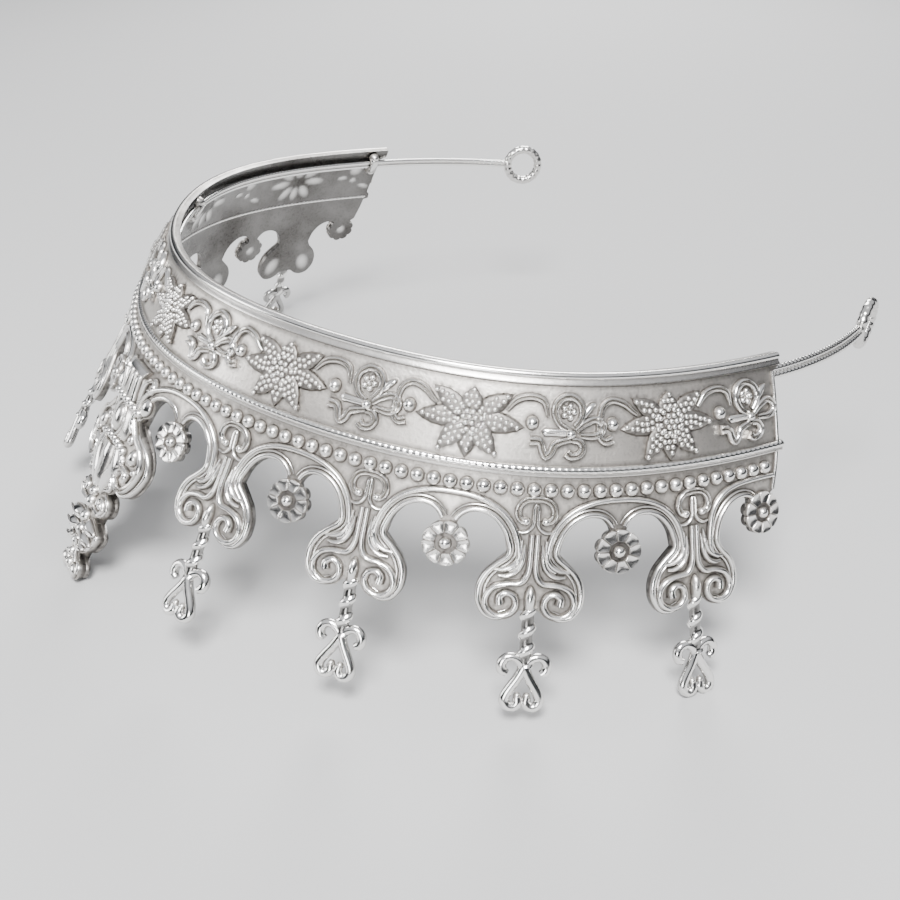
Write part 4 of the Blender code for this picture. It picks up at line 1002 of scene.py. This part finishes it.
def patina_group():
    """Shader group: bright metal on the high parts, cream-grey bloom, and soot with painted shade in the
    hollows.
    """
    group = bpy.data.node_groups.get("Silver patina")
    if group:
        return group
    group = bpy.data.node_groups.new("Silver patina", "ShaderNodeTree")
    for name, kind, default in PATINA_INPUTS:
        socket = group.interface.new_socket(name, in_out="INPUT", socket_type="NodeSocket" + kind)
        socket.default_value = default
    for name, kind in PATINA_OUTPUTS:
        group.interface.new_socket(name, in_out="OUTPUT", socket_type="NodeSocket" + kind)
    start = group.nodes.new("NodeGroupInput").outputs
    end = group.nodes.new("NodeGroupOutput").inputs
    coords = group.nodes.new("ShaderNodeTexCoord").outputs["Object"]
    wiring = Wiring(group)
    patch = wiring.noise(coords, start["Patch size"], 4.0)
    grain = wiring.noise(coords, start["Grain size"], 3.0)
    blotch = wiring.ramp(patch, 0.4, 0.68, 0.0, 1.0)
    spots = wiring.ramp(grain, 0.52, 0.66, 0.0, 1.0)
    shine = wiring.math("SUBTRACT", start["Polish"], wiring.math("MULTIPLY", blotch, 0.12))
    shine = wiring.math("MAXIMUM", shine, 0.0)
    dull = wiring.math("SUBTRACT", 1.0, shine)
    base = wiring.mix(shine, start["Bloom"], start["Bright"])
    # The stored soot with painted shade, made patchy, plus random specks, darkens the colour towards Dark
    dirt_and_shade = wiring.math("MULTIPLY", start["Soot and shade"], wiring.ramp(patch, 0.3, 0.65, 0.8, 1.0))
    speck = wiring.math("MULTIPLY", spots, wiring.math("ADD", wiring.math("MULTIPLY", dull, 0.16), 0.03))
    dirt_and_shade = wiring.math("MINIMUM", wiring.math("ADD", dirt_and_shade, speck), 1.0)
    wiring.join(wiring.mix(dirt_and_shade, base, start["Dark"]), end["Color"])
    rough = wiring.ramp(shine, 0.0, 1.0, 0.5, 0.12)
    rough = wiring.math("ADD", rough, wiring.math("MULTIPLY", blotch, 0.07))
    rough = wiring.math("ADD", rough, wiring.math("MULTIPLY", dirt_and_shade, 0.1))
    wiring.join(rough, end["Roughness"])
    wiring.join(wiring.math("MULTIPLY", grain, wiring.ramp(shine, 0.0, 1.0, 1.0, 0.1)), end["Height"])
    return group


# Finishes: share of the bright colour, share of the grain strength, patch size and grain size
FINISHES = {
    "cast silver": (1.0, 1.0, 55.0, 1500.0),
    "wire silver": (0.95, 0.5, 90.0, 1400.0),
    "clip silver": (0.9, 0.6, 120.0, 1400.0),
}
BUMP_DEPTH = 0.00015


def finish(name):
    """Look up a silver finish, which reads the polish and the soot with painted shade stored on its piece, or
    make it.
    """
    if bpy.data.materials.get(name):
        return bpy.data.materials[name]
    settings = bpy.context.scene.crown_finish
    brightness, strength, patch_size, grain_size = FINISHES[name]
    material = bpy.data.materials.new(name)
    material.use_nodes = True
    tree = material.node_tree
    shader = tree.nodes["Principled BSDF"]
    shader.inputs["Metallic"].default_value = 1.0
    group = tree.nodes.new("ShaderNodeGroup")
    group.node_tree = patina_group()
    bright = [share * brightness for share in settings.bright]
    for label, color in (("Bright", bright), ("Bloom", settings.bloom), ("Dark", settings.dark)):
        group.inputs[label].default_value = (*color, 1.0)
    group.inputs["Patch size"].default_value = patch_size
    group.inputs["Grain size"].default_value = grain_size
    for label, socket in (("polish", "Polish"), ("soot_and_shade", "Soot and shade")):
        reader = tree.nodes.new("ShaderNodeAttribute")
        reader.attribute_name = label
        tree.links.new(reader.outputs["Fac"], group.inputs[socket])
    relief = tree.nodes.new("ShaderNodeBump")
    relief.inputs["Strength"].default_value = settings.grain * strength
    relief.inputs["Distance"].default_value = BUMP_DEPTH
    tree.links.new(group.outputs["Color"], shader.inputs["Base Color"])
    tree.links.new(group.outputs["Roughness"], shader.inputs["Roughness"])
    tree.links.new(group.outputs["Height"], relief.inputs["Height"])
    tree.links.new(relief.outputs["Normal"], shader.inputs["Normal"])
    return material


class CrownRelief(bpy.types.PropertyGroup):
    """Sizes of the relief and the wire, reach of the soot with painted shade, and the painted shade of the
    back and the bars.
    """
    bead_height: bpy.props.FloatProperty(
        name="Bead height", default=0.00125, min=0.0002, unit="LENGTH",
        description="Height of the beads over the ground")
    hollow_depth: bpy.props.FloatProperty(
        name="Hollow depth", default=0.00042, min=0.0, unit="LENGTH",
        description="Depth of the dimples in the back")
    winding: bpy.props.FloatProperty(
        name="Winding", default=0.00126, min=0.0004, unit="LENGTH",
        description="Pitch of the fine waves along the hairband")
    loop_thick: bpy.props.FloatProperty(
        name="Loop thickness", default=0.0025, min=0.001, unit="LENGTH",
        description="Thickness of the wound loops")
    # Reach of the painted shade with soot round the ornament's feet
    soot_and_shade_reach: bpy.props.FloatProperty(
        name="Soot reach", default=0.00095, min=0.00005, unit="LENGTH",
        description="Reach of the soot from the ornament on to the ground")
    # Painted dark reflection on the back between its dimples
    back_painted_shade: bpy.props.FloatProperty(
        name="Back shade", default=0.95, min=0.0, max=1.0, subtype="FACTOR",
        description="Tarnish of the back between its dimples")
    # Painted shade on the flanks and backs of the finials' bars
    bar_painted_shade: bpy.props.FloatProperty(
        name="Bar painted shade", default=0.5, min=0.0, max=1.0, subtype="FACTOR",
        description="Tarnish on the flanks and backs of the finials' bars")


class CrownFinish(bpy.types.PropertyGroup):
    """Colours and grain of the silver."""
    bright: bpy.props.FloatVectorProperty(
        name="Bright silver", subtype="COLOR", size=3, min=0, max=1,
        default=(0.96, 0.95, 0.93),
        description="Colour of the polished high parts")
    bloom: bpy.props.FloatVectorProperty(
        name="Bloom", subtype="COLOR", size=3, min=0, max=1,
        default=(0.61, 0.56, 0.505),
        description="Colour of the satin ground")
    # Dark colour of the soot and of the painted shade in hollows and at the feet of the ornament
    dark: bpy.props.FloatVectorProperty(
        name="Soot and shade", subtype="COLOR", size=3, min=0, max=1,
        default=(0.035, 0.031, 0.028),
        description="Colour of the tarnish in the hollows")
    grain: bpy.props.FloatProperty(
        name="Grain", default=0.5, min=0.0, max=1.0, subtype="FACTOR",
        description="Strength of the cast grain")


class CrownStage(bpy.types.PropertyGroup):
    """Floor and light."""
    floor_size: bpy.props.FloatProperty(
        name="Floor", default=3.0, min=0.5, unit="LENGTH",
        description="Width of the floor")
    floor_color: bpy.props.FloatVectorProperty(
        name="Floor colour", subtype="COLOR", size=3, min=0, max=1,
        default=(0.43, 0.43, 0.43),
        description="Colour of the floor")
    key_power: bpy.props.FloatProperty(
        name="Key light", default=19.0, min=0.0,
        description="Strength of the main soft light, in watts")


class CROWN_OT_mouldings(bpy.types.Operator):
    """Add the top rim, the second rim, the beads and the rims round the openings"""
    bl_idname = "crown.mouldings"
    bl_label = "Mouldings, beads and rims"

    def execute(self, context):
        casting = Casting()
        add_mouldings(casting)
        add_rims(casting, plate_outline())
        casting.make("crown_mouldings")
        return {"FINISHED"}


class CROWN_OT_frieze(bpy.types.Operator):
    """Add the flowers, berries, tendrils and bows of the frieze"""
    bl_idname = "crown.frieze"
    bl_label = "Frieze"

    def execute(self, context):
        casting = Casting()
        for index in range(-FRIEZE_REACH, FRIEZE_REACH + 1):
            add = add_bow if index % 2 else add_flower
            add(casting, index * FRIEZE_STEP)
        casting.make("crown_frieze")
        return {"FINISHED"}


class CROWN_OT_arcade(bpy.types.Operator):
    """Add the lines over the openings and the rosettes"""
    bl_idname = "crown.arcade"
    bl_label = "Arcade and rosettes"

    def execute(self, context):
        casting = Casting()
        add_arcade(casting)
        for x, drop in rosette_places():
            add_rosette(casting, x, drop)
        casting.make("crown_arcade")
        return {"FINISHED"}


class CROWN_OT_pendants(bpy.types.Operator):
    """Add the nine pendants with their rods and finials"""
    bl_idname = "crown.pendants"
    bl_label = "Pendants"

    def execute(self, context):
        casting = Casting()
        for part in (add_column, add_lobes, add_lily, add_tail):
            part(casting)
        for place in PENDANT_PLACES:
            for x in (-place, place):
                for part in (add_omega, add_heart, add_rod, add_finial):
                    part(casting, x)
        casting.make("crown_pendants")
        return {"FINISHED"}


class CROWN_OT_ground(bpy.types.Operator):
    """Add the cast sheet under the ornament, with painted shade and soot round everything that stands on it
    """
    bl_idname = "crown.ground"
    bl_label = "Ground sheet"

    def execute(self, context):
        if not FEET:
            raise RuntimeError("Add the ornament before the ground sheet")
        casting = Casting()
        add_sheet(casting, [plate_outline()] + [rosette_outline(x, drop) for x, drop in rosette_places()])
        casting.make("crown_body")
        return {"FINISHED"}


class CROWN_OT_hairband(bpy.types.Operator):
    """Add the doubled wire with its two loops"""
    bl_idname = "crown.hairband"
    bl_label = "Hairband"

    def execute(self, context):
        casting = Casting()
        radius = WIRE_DIAMETER / 2
        winding = context.scene.crown_relief.winding / MM
        for strand in (-1, 1):
            rings = []
            for x in np.arange(-WIRE_REACH, WIRE_REACH, winding / 4):
                size = radius * (1.0 - WIRE_WAVE + WIRE_WAVE * math.cos(2 * math.pi * x / winding))
                rings.append([(x, WIRE_DROP + strand * radius * 0.98 + size * math.cos(a),
                               WIRE_LIFT + size * math.sin(a)) for a in circle(10)])
            casting.loft(rings, 1.0, 0.0)
        casting.make("hairband", "wire", ["hairband_wire"])
        for side, name in ((-1, "loop_left"), (1, "loop_right")):
            self.add_loop(side, name, context.scene.crown_relief.loop_thick)
        return {"FINISHED"}

    def add_loop(self, side, name, thick):
        """A wound wire bent round into an eye at the end of one tail."""
        heading = float(wall_heading(side * WIRE_REACH))
        turn = STAND.to_3x3()
        end = Vector(wrap([(side * WIRE_REACH, WIRE_DROP, WIRE_LIFT)])[0])
        along = turn @ Vector((math.cos(heading), math.sin(heading), 0.0)) * side
        across = turn @ Vector((math.sin(heading), -math.cos(heading), 0.0))
        up = turn @ Vector((0.0, 0.0, 1.0))
        radius = (LOOP_OUTER * MM - thick) / 2
        bpy.ops.object.select_all(action="DESELECT")
        bpy.ops.mesh.primitive_torus_add(major_segments=144, minor_segments=12, major_radius=radius,
                                         minor_radius=thick / 2)
        ring = bpy.context.object
        mesh = ring.data
        for vert in mesh.vertices:
            spot = Vector((vert.co.x, vert.co.y, 0.0)).normalized() * radius
            wave = math.cos(LOOP_WAVES * math.atan2(vert.co.y, vert.co.x))
            vert.co = spot + (vert.co - spot) * (1.0 - LOOP_WAVE + LOOP_WAVE * wave)
        axes = Matrix((along, up, across)).transposed().to_4x4()
        mesh.transform(Matrix.Translation(end + along * radius) @ axes)
        for vert in mesh.vertices:
            vert.co = np.clip(vert.co, CAD_BOX[0], CAD_BOX[1])
        bpy.data.objects.remove(ring)
        finish_piece(name, mesh, "wire", ["hairband_wire"], LOOP_POLISH, LOOP_SOOT)


class CROWN_OT_clips(bpy.types.Operator):
    """Add the four binding clips"""
    bl_idname = "crown.clips"
    bl_label = "Binding clips"

    def execute(self, context):
        places = {"tie_left_end": -CLIP_AT_END, "tie_left_front": -CLIP_AT_FRONT,
                  "tie_right_front": CLIP_AT_FRONT, "tie_right_end": CLIP_AT_END}
        room = WIRE_DIAMETER + CLIP_GAP
        floor = BACK - CLIP_GAP
        cover = BACK - WIRE_CLEARANCE - WIRE_DIAMETER - CLIP_GAP
        reach = room + CLIP_THICK + CLIP_END
        outer = [(reach, floor), (reach, floor - CLIP_THICK * 0.8),
                 (room + CLIP_THICK * 1.2, floor - CLIP_THICK),
                 (room + CLIP_THICK, cover + 0.1), (room + CLIP_THICK * 0.6, cover - CLIP_THICK)]
        inner = [(-room + 0.2, cover), (-room, cover + 0.25), (-room, floor)]
        section = outer + [(-down, out) for down, out in outer[::-1]] + inner[::-1]
        section += [(-down, out) for down, out in inner]
        for node, x in places.items():
            casting = Casting()
            rings = []
            for share, size in ((-1.0, 0.93), (-0.85, 1.0), (0.85, 1.0), (1.0, 0.93)):
                rings.append([(x + share * CLIP_WIDTH / 2, WIRE_DROP + down * size,
                               floor + (out - floor) * size) for down, out in section])
            casting.loft(rings, 1.0, 0.0)
            for side in (-1, 1):
                casting.dome(x, WIRE_DROP + side * (reach - BALL_SET_IN), *BALL_SIZES, base=floor - 0.1,
                             rows=5, foot=False, soot_and_shade=0.3)
            casting.make("clip_" + node[4:], "clip", [node])
        return {"FINISHED"}


# Soft lights: name, place, point aimed at, size, and power as a share of the key light's
LIGHTS = (
    ("key", (0.35, -0.25, 0.75), (0.0, 0.0, 0.02), 0.3, 1.0),
    ("fill", (0.75, -0.75, 0.3), (0.0, -0.02, 0.03), 0.3, 0.26),
    ("side", (-0.5, -0.75, 0.3), (0.0, -0.06, 0.03), 0.4, 0.2),
    ("rim", (-0.6, 0.5, 0.5), (0.0, 0.0, 0.03), 0.4, 0.5),
)
# Room light: height, from 0 at eye level to 1 overhead, and colour
ROOM_LIGHT = ((0.3, (0.03, 0.032, 0.036, 1.0)), (0.62, (0.75, 0.76, 0.79, 1.0)))


class CROWN_OT_stage(bpy.types.Operator):
    """Add the pale floor, the soft lights and the camera"""
    bl_idname = "crown.stage"
    bl_label = "Stage"

    def execute(self, context):
        settings = context.scene.crown_stage
        bpy.ops.object.select_all(action="DESELECT")
        bpy.ops.mesh.primitive_plane_add(size=settings.floor_size)
        floor = bpy.context.object
        floor.name = "floor"
        material = bpy.data.materials.new("pale floor")
        material.use_nodes = True
        shader = material.node_tree.nodes["Principled BSDF"]
        shader.inputs["Base Color"].default_value = (*settings.floor_color, 1.0)
        shader.inputs["Roughness"].default_value = 0.9
        floor.data.materials.append(material)
        self.add_room(context)
        for name, place, target, size, share in LIGHTS:
            self.add_light(name, place, target, size, settings.key_power * share)
        self.add_camera(context)
        return {"FINISHED"}

    def add_room(self, context):
        """Room light that rises from dim at eye level to bright overhead, as in a tent open at its sides."""
        world = bpy.data.worlds.new("soft room")
        context.scene.world = world
        world.use_nodes = True
        tree = world.node_tree
        back = tree.nodes["Background"]
        coords = tree.nodes.new("ShaderNodeTexCoord")
        split = tree.nodes.new("ShaderNodeSeparateXYZ")
        ramp = tree.nodes.new("ShaderNodeValToRGB")
        tree.links.new(coords.outputs["Generated"], split.inputs[0])
        tree.links.new(split.outputs["Z"], ramp.inputs["Fac"])
        tree.links.new(ramp.outputs["Color"], back.inputs["Color"])
        for stop, (place, color) in zip(ramp.color_ramp.elements, ROOM_LIGHT):
            stop.position = place
            stop.color = color

    def add_light(self, name, place, target, size, power):
        """One square soft light aimed at a point."""
        light = bpy.data.lights.new(name, "AREA")
        light.size = size
        light.energy = power
        lamp = bpy.data.objects.new(name, light)
        lamp.location = place
        lamp.rotation_euler = (Vector(target) - Vector(place)).to_track_quat("-Z", "Y").to_euler()
        bpy.context.scene.collection.objects.link(lamp)

    def add_camera(self, context):
        """Camera at the place found by fitting the bead row, rims and tips in the photograph."""
        data = bpy.data.cameras.new("camera")
        data.sensor_width = SENSOR_WIDTH
        data.lens = CAMERA_LENS
        data.clip_start = 0.01
        camera = bpy.data.objects.new("camera", data)
        turn = Vector(CAMERA_TURN)
        right, down, ahead = Matrix.Rotation(turn.length, 3, turn.normalized())
        axes = Matrix((right, -down, -ahead)).transposed().to_4x4()
        camera.matrix_world = STAND @ Matrix.Translation(Vector(CAMERA_PLACE)) @ axes
        context.scene.collection.objects.link(camera)
        context.scene.camera = camera


class CROWN_PT_panel(bpy.types.Panel):
    """Lists the crown's pieces and its settings"""
    bl_label = "Bridal crown"
    bl_idname = "CROWN_PT_panel"
    bl_space_type = "VIEW_3D"
    bl_region_type = "UI"
    bl_category = "Crown"

    def draw(self, context):
        for operator in OPERATORS:
            self.layout.operator(operator.bl_idname)
        for group in (context.scene.crown_relief, context.scene.crown_finish, context.scene.crown_stage):
            box = self.layout.box()
            for name in group.__annotations__:
                box.prop(group, name)


OPERATORS = (CROWN_OT_mouldings, CROWN_OT_frieze, CROWN_OT_arcade, CROWN_OT_pendants, CROWN_OT_ground,
             CROWN_OT_hairband, CROWN_OT_clips, CROWN_OT_stage)
CLASSES = (CrownRelief, CrownFinish, CrownStage) + OPERATORS + (CROWN_PT_panel,)


def register():
    """Register the add-on."""
    for cls in CLASSES:
        bpy.utils.register_class(cls)
    bpy.types.Scene.crown_relief = bpy.props.PointerProperty(type=CrownRelief)
    bpy.types.Scene.crown_finish = bpy.props.PointerProperty(type=CrownFinish)
    bpy.types.Scene.crown_stage = bpy.props.PointerProperty(type=CrownStage)


def unregister():
    """Take the add-on out again."""
    del bpy.types.Scene.crown_relief
    del bpy.types.Scene.crown_finish
    del bpy.types.Scene.crown_stage
    for cls in reversed(CLASSES):
        bpy.utils.unregister_class(cls)


def main():
    """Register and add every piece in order."""
    register()
    bpy.ops.crown.mouldings()
    bpy.ops.crown.frieze()
    bpy.ops.crown.arcade()
    bpy.ops.crown.pendants()
    bpy.ops.crown.ground()
    bpy.ops.crown.hairband()
    bpy.ops.crown.clips()
    bpy.ops.crown.stage()


if __name__ == "__main__":
    main()
